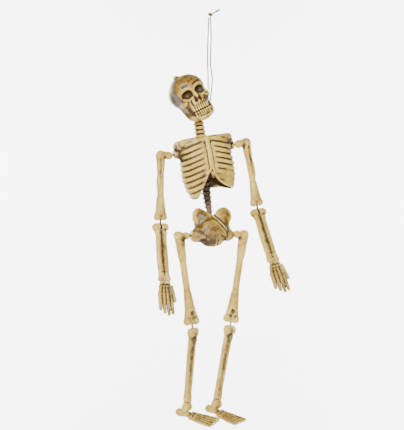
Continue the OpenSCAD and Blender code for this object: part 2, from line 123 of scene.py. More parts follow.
def limb_frames(side_name):
    side = SIDES[side_name]
    at = {}
    at["humerus"] = basis(pin(side_name + "_shoulder_spread"), y=axis(side_name + "_shoulder_spread", -side),
                          z=axis(side_name + "_elbow_turn"))
    elbow, wrist = pin(side_name + "_elbow_bend"), pin(side_name + "_wrist_bend")
    arm_x = axis(side_name + "_elbow_bend", -1)
    arm_z = (elbow - wrist) / np.linalg.norm(elbow - wrist)
    at["forearm"] = basis(elbow, x=arm_x, z=arm_z)
    at["hand"] = basis(wrist, x=arm_x, z=turned(arm_z, arm_x, -WRIST_REST[side_name]))
    at["femur"] = basis(pin(side_name + "_hip_spread"), y=axis(side_name + "_hip_spread", -side),
                        z=axis(side_name + "_knee_turn"))
    knee, ankle = pin(side_name + "_knee_bend"), pin(side_name + "_ankle_bend")
    leg_x = axis(side_name + "_knee_bend")
    leg_z = (knee - ankle) / np.linalg.norm(knee - ankle)
    at["shin"] = basis(knee, x=leg_x, z=leg_z)
    at["foot"] = basis(ankle, x=leg_x, z=turned(leg_z, leg_x, ANKLE_REST[side_name]))
    return at


# ---------- Sculpting: a bone is a distance field on a grid ----------
FAR = 6.0                        # distances past this are not kept
BORE_R, PIN_HOLE_R = 1.35, 0.87  # the running bores for the eyes' shanks and for the pins


def rod(p, a, b, ra, rb=None):
    """Distance to a round rod from a to b, with radius ra at a and rb at b."""
    rb = ra if rb is None else rb
    a, b = np.asarray(a, float), np.asarray(b, float)
    d = b - a
    t = np.clip(((p[0] - a[0]) * d[0] + (p[1] - a[1]) * d[1] + (p[2] - a[2]) * d[2]) / max(d @ d, 1e-9), 0, 1)
    q = [p[i] - a[i] - t * d[i] for i in range(3)]
    return np.sqrt(q[0] ** 2 + q[1] ** 2 + q[2] ** 2) - (ra + (rb - ra) * t)


def egg(p, centre, radii):
    """Distance, nearly, to an ellipsoid."""
    q = [(p[i] - centre[i]) / radii[i] for i in range(3)]
    k0 = np.sqrt(q[0] ** 2 + q[1] ** 2 + q[2] ** 2) + 1e-6
    k1 = np.sqrt(sum((q[i] / radii[i]) ** 2 for i in range(3))) + 1e-6
    return k0 * (k0 - 1) / k1


def block(p, centre, half, r=0.3):
    """Distance to a box with rounded edges."""
    q = [np.abs(p[i] - centre[i]) - (half[i] - r) for i in range(3)]
    outside = np.sqrt(sum(np.maximum(c, 0) ** 2 for c in q))
    return outside + np.minimum(np.maximum(np.maximum(q[0], q[1]), q[2]), 0) - r


def smooth_min(a, b, k):
    if k <= 0:
        return np.minimum(a, b)
    h = np.maximum(k - np.abs(a - b), 0) / k
    return np.minimum(a, b) - h * h * k / 4


def curve(points, per_span=5):
    """Points along one smooth curve through the given ones."""
    pts = [np.asarray(p, float) for p in points]
    pts = [2 * pts[0] - pts[1], *pts, 2 * pts[-1] - pts[-2]]
    out = []
    for i in range(1, len(pts) - 2):
        a, b, c, d = pts[i - 1:i + 3]
        for t in np.arange(per_span) / per_span:
            out.append(0.5 * (2 * b + (c - a) * t + (2 * a - 5 * b + 4 * c - d) * t * t
                              + (3 * b - a - 3 * c + d) * t ** 3))
    return out + [pts[-2]]


def steps_along(points, per_span):
    """Evenly spaced (x, z) places along straight lines from point to point."""
    for (xa, za), (xb, zb) in zip(points, points[1:]):
        for t in np.arange(per_span) / per_span:
            yield xa + (xb - xa) * t, za + (zb - za) * t


class Clay:
    """A bone under the sculptor's hands. Rods, eggs, blocks and lines add to its distance field or, with cut,
    take away from it; press dents the surface and stain_and_shade marks its paint, with stains and with
    painted shade."""

    def __init__(self, low, high, step=0.5):
        self.low, self.step = np.asarray(low, float), step
        self.n = np.ceil((np.asarray(high, float) - self.low) / step).astype(int) + 1
        self.d = np.full(self.n, FAR, np.float32)
        self.stains_and_shades = []
        self.paint = None            # extra wash and painted shade, worked out from a point's place

    def _part(self, low, high):
        a = np.clip(np.floor((np.asarray(low) - self.low) / self.step).astype(int), 0, self.n - 1)
        b = np.clip(np.ceil((np.asarray(high) - self.low) / self.step).astype(int) + 1, 1, self.n)
        axes = [self.low[i] + self.step * np.arange(a[i], b[i], dtype=np.float32) for i in range(3)]
        where = tuple(slice(a[i], b[i]) for i in range(3))
        return where, [axes[0][:, None, None], axes[1][None, :, None], axes[2][None, None, :]]

    def _mix(self, shape, low, high, k, cut):
        reach = 3.5 + k
        where, p = self._part(np.asarray(low) - reach, np.asarray(high) + reach)
        if min(self.d[where].shape) == 0:
            return
        s = shape(p)
        if cut:
            self.d[where] = -smooth_min(-self.d[where], s, k)
        else:
            self.d[where] = smooth_min(self.d[where], s, k)

    def rod(self, a, b, ra, rb=None, k=1.0, cut=False):
        r = max(ra, rb or 0)
        low, high = np.minimum(a, b) - r, np.maximum(a, b) + r
        self._mix(lambda p: rod(p, a, b, ra, rb), low, high, k, cut)

    def egg(self, centre, radii, k=1.0, cut=False):
        c, r = np.asarray(centre, float), np.asarray(radii, float) * np.ones(3)
        self._mix(lambda p: egg(p, c, r), c - r, c + r, k, cut)

    def block(self, centre, half, k=0.0, cut=False, r=0.3):
        c, h = np.asarray(centre, float), np.asarray(half, float)
        self._mix(lambda p: block(p, c, h, r), c - h, c + h, k, cut)

    def line(self, points, r, k=0.6, cut=False, r_end=None, per_span=5):
        """A round strand or groove along a smooth curve."""
        pts = curve(points, per_span)
        radii = np.linspace(r, r if r_end is None else r_end, len(pts))

        def chain(p):
            best = None
            for a, b, ra, rb in zip(pts, pts[1:], radii, radii[1:]):
                d = rod(p, a, b, ra, rb)
                best = d if best is None else np.minimum(best, d)
            return best
        low, high = np.min(pts, axis=0) - radii.max(), np.max(pts, axis=0) + radii.max()
        self._mix(chain, low, high, k, cut)

    def press(self, points, width, depth, front=None, back=None):
        """Presses a line of (x, z) points into the surface, or raises it where depth is negative.
        front limits it to the half with y below a value, and back to the half with y above one."""
        pts = np.array(curve(points, 4)) if len(points) > 1 else np.array(points, float)
        low, high = self.low.copy(), self.low + self.step * (self.n - 1)
        low[[0, 2]], high[[0, 2]] = pts.min(0) - 2.5 * width, pts.max(0) + 2.5 * width
        if front is not None:
            high[1] = front
        if back is not None:
            low[1] = back
        where, (x, y, z) = self._part(low, high)
        best = None
        for a, b in zip(pts, pts[1:] if len(pts) > 1 else pts):
            d = b - a
            t = np.clip(((x - a[0]) * d[0] + (z - a[1]) * d[1]) / max(d @ d, 1e-9), 0, 1)
            q = (x - a[0] - t * d[0]) ** 2 + (z - a[1] - t * d[1]) ** 2
            best = q if best is None else np.minimum(best, q)
        amount = depth * np.exp(-best / width ** 2)
        if front is not None:
            amount = amount * np.clip((front - y) / 2.0, 0, 1)
        if back is not None:
            amount = amount * np.clip((y - back) / 2.0, 0, 1)
        self.d[where] += amount.astype(np.float32)

    def bore(self, a, b, r=BORE_R):
        self.rod(a, b, r, r, 0, True)

    def stain_and_shade(self, centre, radii, amount=1.0):
        """Darkens (or, if negative, cleans) the paint near a place, for a stain or for painted shade."""
        self.stains_and_shades.append((np.asarray(centre, float), np.asarray(radii, float) * np.ones(3), amount))

    def _hollow(self, half):
        """How hollow the surface is round each point, over a box of that half width, in millimetres."""
        n = max(1, int(round(half / self.step)))
        f = np.clip(self.d, -FAR, FAR).astype(np.float64)
        for ax in range(3):
            pad = [(0, 0)] * 3
            pad[ax] = (n + 1, n)
            c = np.cumsum(np.pad(f, pad, mode="edge"), axis=ax)
            hi = [slice(None)] * 3
            lo = [slice(None)] * 3
            hi[ax], lo[ax] = slice(2 * n + 1, None), slice(0, -(2 * n + 1))
            f = (c[tuple(hi)] - c[tuple(lo)]) / (2 * n + 1)
        return -f

    def _sample(self, field, v):
        g = (v - self.low) / self.step
        i = np.clip(np.floor(g).astype(int), 0, self.n - 2)
        t = g - i
        out = 0
        for k in range(8):
            o = np.array([(k >> 2) & 1, (k >> 1) & 1, k & 1])
            w = np.prod(np.where(o, t, 1 - t), axis=1)
            j = i + o
            out = out + w * field[j[:, 0], j[:, 1], j[:, 2]]
        return out

    def mesh(self, name, at, mirror=False):
        """The finished piece, in the row frame, with paint values on its points."""
        grid = openvdb.FloatGrid(FAR)
        grid.copyFromArray(np.ascontiguousarray(self.d))
        points, quads = grid.convertToQuads(0.0)
        kept, quads = without_crumbs(np.asarray(quads, int)[:, ::-1], len(points))
        v = np.asarray(points, float)[kept] * self.step + self.low
        fine, broad = self._sample(self._hollow(0.9), v), self._sample(self._hollow(2.6), v)
        # stains and painted shade, summed at each point
        stain_and_shade = np.zeros(len(v))
        for c, r, amount in self.stains_and_shades:
            stain_and_shade += amount * np.exp(-(((v - c) / r) ** 2).sum(1))
        if self.paint is not None:
            stain_and_shade += self.paint(v)
        w = v.copy()
        if mirror:
            w[:, 0] *= -1
            quads = quads[:, ::-1]
        w = (w @ at[:3, :3].T + at[:3, 3]) * MM
        mesh = bpy.data.meshes.new(name)
        mesh.vertices.add(len(w))
        mesh.vertices.foreach_set("co", w.astype(np.float32).ravel())
        mesh.loops.add(quads.size)
        mesh.loops.foreach_set("vertex_index", quads.astype(np.int32).ravel())
        mesh.polygons.add(len(quads))
        mesh.polygons.foreach_set("loop_start", (np.arange(len(quads)) * 4).astype(np.int32))
        mesh.update(calc_edges=True)
        mesh.validate()
        mesh.shade_smooth()
        for label, values in (("fine", fine), ("broad", broad), ("stain_and_shade", stain_and_shade)):
            layer = mesh.attributes.new(label, "FLOAT", "POINT")
            layer.data.foreach_set("value", np.asarray(values, np.float32))
        obj = bpy.data.objects.new(name, mesh)
        bpy.context.scene.collection.objects.link(obj)
        return obj


def without_crumbs(quads, count, fewest=200):
    """Which points belong to a piece of enough points, and the quads renumbered for those alone."""
    group = np.arange(count)
    while True:
        spread = group.copy()
        np.minimum.at(spread, quads.ravel(), np.repeat(group[quads].min(axis=1), 4))
        spread = spread[spread]
        if (spread == group).all():
            break
        group = spread
    kept = np.bincount(group, minlength=count)[group] >= fewest
    renumbered = np.cumsum(kept) - 1
    return kept, renumbered[quads[kept[quads[:, 0]]]]


# ---------- Skull ----------
SLOT_HALF = 1.3                  # half the width of a slot round an eye
EYE_ROOM = 3.1                   # the slot's depth past its pin


def sculpt_skull():
    c = Clay((-25, -31, -18), (25, 30, 48), 0.5)
    # braincase, a little squared at the top
    c.egg((-0.8, 5, 22.5), (20.6, 21, 18.6), 1)
    c.egg((-0.8, -5.5, 23), (19.8, 18.5, 17.8), 6)
    c.egg((-0.5, -8, 28), (16.5, 14.5, 11), 6)
    c.egg((-1.6, 0, 36), (11, 12, 4.4), 5)
    # face block, cheekbones, jaws
    c.egg((1, -13.5, 11), (14.8, 9.8, 13), 5)
    c.egg((0.2, -5, 7), (17.2, 12, 12), 5)
    c.egg((0.8, -9, -2), (13.6, 8, 9.4), 4)
    c.egg((0.8, -17.5, 2.8), (9.6, 6.4, 7.2), 4)
    c.egg((1.2, -16.0, -5.8), (12.2, 7.6, 7.4), 3)
    c.egg((1.8, -20, -9.6), (7.2, 4, 4), 3)
    for side in (-1, 1):
        cheek = 1.2 + side * 13.2
        c.egg((cheek - side * 0.8, -15.2, 11.8), (4.8, 5.2, 3.2), 4)
        c.line([(cheek, -15, 11.8), (1.2 + side * 15.6, -8, 12.4), (1.2 + side * 15.6, 1, 13)], 2.3, 4)
        c.line([(1.2 + side * 12.6, -2, 6), (1.2 + side * 13, -7, -3), (1.2 + side * 10, -15, -8)], 3.4, 3)
    c.rod((0, -8, 4), (0, 0, 3), 7.4, 6.8, 4)
    c.rod((0, -3.4, 0), (0, 3.4, 0), 5.1, 5.1, 2)
    # brow ridge and the tip on the crown
    for side in (-1, 1):
        brow = [(1.4 + side * 3.2, -20.6, 24.2), (1.4 + side * 8, -21.3, 26.6),
                (1.4 + side * 14, -17.8, 24.6)]
        c.line(brow, 1.9, 2.6)
    c.egg((-5.0, -2, 42.6), (3.0, 3.1, 3.0), 2.2)
    c.stain_and_shade((-5.2, -3, 44), (2.6, 4, 2.4), 0.22)
    # temples pulled in, the groove at the left temple
    for side in (-1, 1):
        c.egg((1 + side * 24.8, -12.5, 20), (5.0, 7, 7.4), 7, True)
    c.stain_and_shade((-17.5, -13, 21), (2.6, 6, 8), 0.25)
    # eye sockets
    for side in (-1, 1):
        x = 1.5 + side * 8.1
        c.egg((x, -22.6, 19.6), (6.6, 7.4, 5.2), 1.0, True)
        c.egg((x + side * 1.2, -23.6, 18.6), (4.9, 6, 4.3), 1.4, True)
        c.egg((x - side * 1.6, -23, 20.6), (4.4, 6.2, 3.9), 1.4, True)
        c.line([(x - 5.4, -21.2, 16.6), (x, -22.2, 13.8), (x + 5.6, -20.8, 16)], 1.1, 1.6)
        c.stain_and_shade((x, -18.5, 19.5), (6.2, 6.5, 4.9), 1.5)
    # nose bones and the two openings
    c.line([(1.6, -20.6, 22), (2.0, -24.0, 18), (2.4, -25.0, 14.8)], 1.5, 1.8, r_end=1.9)
    for side in (-1, 1):
        low = (2.65 + side * 2.7, -23.6, 10.2)
        c.rod((2.65 + side * 1.9, -24.4, 14.2), low, 0.9, 1.75, 0.7, True)
        c.egg((low[0], low[1] + 0.6, low[2] - 0.2), (1.8, 3.4, 1.7), 0.6, True)
        c.stain_and_shade((2.65 + side * 2.3, -22.5, 11.4), (1.7, 3.4, 2.9), 1.7)
    c.press([(-5.4, 12.6), (-5.7, 9.2), (-5.3, 6.2)], 0.75, 1.1, -6)
    c.press([(10.3, 9.0)], 1.9, 1.0, -6)
    c.press([(10.9, 12.2), (14.5, 8.6)], 0.8, 0.6, -6)
    c.press([(-8.7, 12.0), (-12.6, 7.2)], 1.1, 0.5, -6)
    # forehead marks
    c.press([(-8.4, 30.6), (-5.2, 30.9), (-2.2, 30.4)], 1.1, 0.55, -6)
    c.press([(-8.0, 28.8), (-5.2, 29.1), (-2.6, 28.8)], 0.8, 0.5, -6)
    c.press([(5.0, 28.6), (8.4, 29.5), (12.0, 29.6)], 1.0, 0.4, -6)
    # teeth: an upper and a lower row with roots
    c.press([(-7.4, -0.8), (-2, -1.3), (4, -1.5), (12.4, -0.6)], 0.55, 1.1, -8)
    pitch = 2.55
    for i in range(8):
        x = -6.6 + i * pitch
        out = -24.2 + 0.03 * (x - 2.2) ** 2
        c.rod((x, out, 0.5), (x, out + 0.5, 4.4), 1.25, 0.7, 0.5)
        c.rod((x + 0.3, out + 0.6, -2.8), (x + 0.3, out + 0.9, -6.0), 1.2, 0.7, 0.5)
        edge = x + pitch / 2
        c.press([(edge, 0.2), (edge + 0.1, 6.2)], 0.45, 0.75, -10)
        c.press([(edge + 0.2, -2.0), (edge + 0.3, -6.4)], 0.45, 0.75, -10)
        c.stain_and_shade((edge, -22, 4.6), (0.7, 6, 2.6), 0.4)
        c.stain_and_shade((edge + 0.2, -22, -3.8), (0.6, 6, 2.2), 0.35)
    c.press([(-7.2, -4.3), (-4.2, -4.6), (-1.5, -4.4)], 0.55, 0.6, -8)
    c.stain_and_shade((2.4, -22, -1.1), (10, 8, 0.8), 0.9)
    # painted shade over the left side of the braincase
    c.stain_and_shade((-19, -6, 21), (5, 12, 14), 0.36)
    c.stain_and_shade((-5.2, -19, 29.8), (4.4, 6, 2.0), 0.45)
    c.stain_and_shade((8.6, -19, 29.4), (4.2, 6, 1.0), 0.4)
    # hollows beside the mouth and the rim of the jaw
    c.press([(-10.6, 4.6), (-9.8, 0.4), (-8.4, -5.0)], 1.3, 1.0, -5)
    c.stain_and_shade((-9.6, -16, 0.4), (1.9, 8, 4.0), 0.75)
    c.press([(14.2, 3.0), (13.4, -1.5), (12.2, -6.6)], 1.0, 1.5, -5)
    c.stain_and_shade((13.6, -14, -1.8), (1.5, 9, 4.6), 0.9)
    c.press([(-3, -7.6), (2, -8.4), (7, -7.8)], 1.0, 0.6, -8)
    c.press([(0.6, -11.2), (3.6, -11.0)], 0.8, 0.35, -8)
    # seams behind: a suture across the crown and the hole under the braincase
    for i in range(9):
        zig = 1.2 * (-1) ** i
        ends = ((np.radians(-64 + 16 * i), 4 - zig), (np.radians(-56 + 16 * i), 4 + zig))
        c.line([(20.4 * np.sin(a), y, 22.6 + 18.6 * np.cos(a)) for a, y in ends], 0.4, 0.4, True, per_span=2)
    c.egg((0, 5.6, 1.4), (6.2, 5.6, 3.4), 2, True)
    # room for the eye on its pin
    c.block((0, 0, -1.95), (7, SLOT_HALF, 5.05), cut=True)
    return c


# ---------- Ribcage ----------
CHEST_W, CHEST_D, CHEST_Y = 31, 20, -8       # half width, half depth and centre of the chest
# At each height, the shares of the half width and the half depth
CHEST_LEVELS = [(0.70, 0.52, 1.0), (0.86, 0.66, -1.5), (0.92, 0.76, -4), (0.935, 0.88, -10),
                (0.97, 0.97, -21), (1.0, 1.0, -34), (0.985, 0.99, -47), (0.9, 0.95, -58),
                (0.72, 0.86, -69), (0.6, 0.8, -76)]
CHEST_WALL, RIB_RELIEF = 2.3, 2.0
RIM_OUT = 1.4                    # how far the rim lies outside the arch under the ribs
SHOULDER_Z = {-1: -15.4, 1: -13.4}
RIB_PITCH = 6.3


def chest_half(z):
    """Half width and half depth of the chest at a height."""
    wide, deep, height = np.array(CHEST_LEVELS)[::-1].T
    return np.interp(z, height, wide) * CHEST_W, np.interp(z, height, deep) * CHEST_D


def rib_dip(around):
    """How far a rib falls below its start at the spine, by the angle round from the breastbone."""
    return 5.0 * np.sin(np.clip(around, 0, np.pi)) ** 0.8 - 3.0 * np.clip(1 - around / 0.9, 0, 1)


def rib_band(around, z):
    """1 along the middle of a rib, falling to 0 in the gaps."""
    phase = (z + rib_dip(np.abs(around)) + 3.5) / RIB_PITCH
    nearest = np.abs(phase - np.round(phase)) * RIB_PITCH
    return np.clip(1 - (nearest / 2.7) ** 2, 0, 1)


def plate(around, z):
    """1 on the smooth gristle at the right, below the ribs that show."""
    in_front = np.clip((around - 0.2) / 0.3, 0, 1) * np.clip((1.35 - around) / 0.3, 0, 1)
    return in_front * np.clip((-38 - z) / 5, 0, 1)


def chest_wash_and_shade(v):
    """Painted shade inside the hollow ribcage and on its sides, and the wash in the gaps between its ribs."""
    half_w, half_d = chest_half(v[:, 2])
    x, y = v[:, 0] / half_w, (v[:, 1] - CHEST_Y) / half_d
    depth = (1 - np.sqrt(x ** 2 + y ** 2)) * np.minimum(half_w, half_d)
    below = np.clip((-5 - v[:, 2]) / 3, 0, 1)
    # painted shade on the inner walls of the hollow chest, below its top
    inner = np.clip((depth - 1.4) / 0.8, 0, 1) * below
    around = np.arctan2(x, -y)
    gap = (1 - rib_band(around, v[:, 2])) * np.clip((np.abs(around) - 0.14) / 0.12, 0, 1)
    gap = gap * (1 - 0.8 * plate(around, v[:, 2])) * (1 - inner) * below
    # painted shade towards the chest's sides and back, which turn away from the light
    edge = np.clip((np.abs(around) - 0.9) / 0.5, 0, 1) * 0.16
    return 0.85 * inner + 0.5 * gap + edge * below


def sculpt_ribcage():
    c = Clay((-40, -32, -73), (40, 16, 4), 0.55)
    z = c.low[2] + c.step * np.arange(c.n[2])
    half_w, half_d = (half[None, None, :] for half in chest_half(z))
    x = (c.low[0] + c.step * np.arange(c.n[0]))[:, None, None]
    y = (c.low[1] + c.step * np.arange(c.n[1]))[None, :, None] - CHEST_Y
    zz = z[None, None, :]
    round_r = np.sqrt((x / half_w) ** 2 + (y / half_d) ** 2) + 1e-6
    slope = np.sqrt((x / half_w ** 2) ** 2 + (y / half_d ** 2) ** 2) + 1e-6
    wall = round_r * (round_r - 1) / slope
    around = np.arctan2(x / half_w, -y / half_d)     # 0 at the breastbone, plus or minus pi behind
    side_of = np.abs(around)
    # ribs: rounded bands that fall from the spine to the side and rise again to the breastbone
    band = rib_band(around, zz)
    on_ribs = np.clip((side_of - 0.17) / 0.16, 0, 1)
    smooth_plate = plate(around, zz)
    at_sides = 1 - 0.62 * np.clip((side_of - 1.05) / 0.4, 0, 1) * np.clip((2.2 - side_of) / 0.3, 0, 1)
    relief = RIB_RELIEF * band * on_ribs * at_sides * (1 - 0.8 * smooth_plate) - 0.5
    upper = np.clip((zz + 3) / 4, 0, 1)
    c.d[:] = np.minimum(wall - relief * (1 - upper), FAR)
    c.d[:] = -smooth_min(-c.d, 0.2 - zz, 2.5)
    inner = wall + CHEST_WALL + 0.1 * relief
    hollow = -smooth_min(-inner, -3.4 - zz, 1.5)
    c.d[:] = -smooth_min(-c.d, hollow, 0.8)
    # slots through the wall between the ribs near the armpits
    for side, ribs in ((-1, (1, 2, 3, 4, 5, 6)), (1, (2, 3, 4, 5))):
        for k in ribs:
            base = -3.5 - RIB_PITCH * (k + 0.5)
            pts = []
            for a in (0.75, 1.0, 1.25):
                h = base - rib_dip(a)
                wide, deep = chest_half(h)
                pts.append((side * wide * np.sin(a), CHEST_Y - deep * np.cos(a), h))
            c.line(pts, 0.75, 0.9, True)
            c.stain_and_shade(pts[1], (5, 5, 1.6), 0.25)
    # breastbone with its joints and the tip below
    c.line([(0, -23.0, -4), (0, -26.6, -16), (0, -28.4, -30), (0, -28.6, -40)], 3.0, 0.8, r_end=2.6)
    for side in (-1, 1):
        c.stain_and_shade((side * 3.5, -28, -22), (0.9, 6, 16), 0.4)
    c.egg((0, -22.8, -4.6), (6.2, 2.6, 4.2), 2)
    c.line([(0, -27.6, -38), (0, -28, -43), (0, -27.4, -46.4)], 1.9, 1.4, r_end=1.2)
    for h in (-11, -18.5, -26, -33):
        c.press([(-3, h), (3, h)], 0.7, 0.25, CHEST_Y)
    # the arch under the ribs, front and back
    arches = {-1: [(0, -38), (4, -42), (8.5, -49), (13, -57), (18.4, -70)],
              1: [(0, -38), (1.6, -44), (7, -51.5), (15, -57.5), (26, -63)]}
    for sgn, arch in arches.items():
        deep = 14 if sgn < 0 else 30
        for x, z in steps_along(arch, 7):
            c.block((sgn * x / 2, -22, z - 22), (x / 2 + 0.4, deep, 22), 0.8, True, r=0.4)
        # rolled rim of the arch
        rim = []
        for xa, za in arch[:-1]:
            wide, deep = chest_half(za)
            x = xa + RIM_OUT
            rim.append((sgn * x, CHEST_Y - deep * np.sqrt(max(0, 1 - (x / wide) ** 2)) + 0.3, za))
        c.line(rim, 1.5, 1.6)
    c.line([(0, -27.4, -38), (0, -27.8, -43), (0, -27, -46.6)], 1.9, 0.8, r_end=1.3)
    c.stain_and_shade((0, -27, -46), (3, 4, 2.6), 0.8)
    behind = [(0, -55), (8, -59), (14, -66), (17, -76)]
    for x, z in steps_along(behind, 6):
        c.block((0, 6, z - 15), (x + 0.4, 14, 15), 0.6, True, r=0.4)
    # nothing hangs between the two sides; their lower ends
    c.block((1.5, -8, -70), (13.5, 30, 11.5), 1.2, True)
    c.block((21, -8, -73.4), (19.5, 30, 11), 1.2, True)
    c.block((-21, -8, -78.6), (19.5, 30, 10), 1.2, True)
    # small brown flecks on the smooth plates at the right
    for q in ((9, -45), (13, -47), (17, -44), (12, -52), (18, -51), (16, -57), (20, -40), (22, -48)):
        c.press([q], 0.9, 0.45, CHEST_Y)
    # spine down the back, with a spur on each bone
    for k in range(9):
        h = -4 - 6.4 * k
        back = chest_half(h)[1] + CHEST_Y
        c.egg((0, back - 0.6, h), (3.6, 2.4, 2.5), 1)
        c.rod((0, back, h), (0, back + 2.4, h - 2.2), 1.3, 0.8, 0.9)
    # shoulders: collarbones, shoulder blades behind, coracoid knobs, lugs
    for side in (-1, 1):
        lug_z = SHOULDER_Z[side]
        drop = 0 if side > 0 else 1.6
        c.block((side * 17, -8.5, -3.6 - drop / 2), (13, 12, 3.4), 2.5, r=2.6)
        c.block((side * 26.6, -6.5, -5.4 - drop), (5.4, 9.5, 5.2), 2.5, r=2.4)
        c.line([(side * 4.5, -21.8, -3.6), (side * 14, -21.2, -3), (side * 23, -15, -3.6),
                (side * 30, -9, -4.4 - drop)], 1.7, 1.6)
        c.stain_and_shade((side * 15, -20.5, -7.6), (13, 5, 1.3), 0.4)
        c.egg((side * 30.4, -4, -7.2), (4.6, 5.2, 4.6), 2)
        c.rod((side * 25, -4, lug_z), (side * 30.2, -4, lug_z), 5.4, 5.2, 2)
        c.rod((side * 30, -4, lug_z), (side * 34.6, -4, lug_z), 5.2, 4.9, 0.6)
        c.block((side * 37.4, -4, lug_z), (2.4, 7, 7), 0.4, True)
        c.egg((side * 25.6, -13.6, -12.6), (2.9, 3.2, 3.1), 1.2)
        c.line([(side * 26, 2, -10), (side * 20, 9.4, -13), (side * 10, 12.2, -12)], 2.0, 1.6)
        c.line([(side * 24, 3.5, -13), (side * 20, 9.5, -26), (side * 14, 12.2, -36)], 1.5, 1.4)
        c.line([(side * 9, 12.2, -13), (side * 10, 12.8, -24), (side * 14, 12.2, -36)], 1.2, 1.4)
        # painted shade in the deep recess between each shoulder lug and the ribs
        c.stain_and_shade((side * 27, -9, -21), (4.4, 7, 5), 1.0)
        c.egg((side * 29.5, -9, -22.4), (3, 4.6, 3.2), 1.6, True)
        # running bore for the peg
        c.bore((side * 27, -4, lug_z), (side * 40, -4, lug_z))
    c.stain_and_shade((29.5, -13, -5), (4.6, 8, 6.5), 0.75)
    c.paint = chest_wash_and_shade
    return c


# ---------- Neck, lumbar spine ----------
def sculpt_neck():
    c = Clay((-9, -9, -3), (9, 11, 28), 0.45)
    c.rod((0, 0, -1), (0, 0, 17), 5.2, 4.9, 0)
    for k in range(4):
        h = 1.4 + 4.7 * k
        c.egg((0, 0, h), (6.6 - 0.12 * k, 6.3, 2.75), 0.5)
        c.egg((0, -5.2, h - 0.3), (3.4, 1.8, 1.7), 0.8)
        c.rod((0, 4, h), (0, 8.2, h - 1.6), 1.3, 0.8, 0.8)
        c.stain_and_shade((0, -4, h + 2.4), (7, 6, 0.6), 0.25)
    c.rod((0, 0, 15), (0, 0, 21.6), 3.7, 3.6, 1)
    c.egg((0, 0, 23), (4.1, 4.1, 2.4), 0.8)
    c.bore((0, 0, 16), (0, 0, 30))
    return c


LUMBAR_Y, LUMBAR_TOP, LUMBAR_END = 11, -28, -86.6
LUMBAR_R = 6.9


def sculpt_lumbar():
    c = Clay((-10, 1, -90), (10, 23, -26), 0.5)
    rings = 11
    pitch = (LUMBAR_TOP - LUMBAR_END) / rings
    for k in range(rings):
        t = k / (rings - 1)
        h = LUMBAR_TOP - pitch * (k + 0.5)
        r = LUMBAR_R - 3.5 * t ** 1.5
        c.rod((0, LUMBAR_Y, h + pitch / 2), (0, LUMBAR_Y, h - pitch / 2), r * 0.8, r * 0.8, 0.4)
        c.egg((0, LUMBAR_Y, h), (r, r, pitch * 0.44), 0.5)
        c.egg((0, LUMBAR_Y, h - pitch * 0.32), (r * 0.97, r * 0.97, 0.9), 0.4)
        for side in (-1, 1):
            c.rod((side * r * 0.7, LUMBAR_Y + 1, h), (side * (r + 0.7), LUMBAR_Y + 2, h + 0.3), 0.9, 0.6, 0.6)
        c.rod((0, LUMBAR_Y + r * 0.6, h), (0, LUMBAR_Y + r + 1.4, h - 1.6), 0.9, 0.6, 0.6)
    c.bore((0, LUMBAR_Y, -92), (0, LUMBAR_Y, -78))
    return c


# ---------- Pelvis ----------
HIP_Y, HIP_Z = -2, -19.3


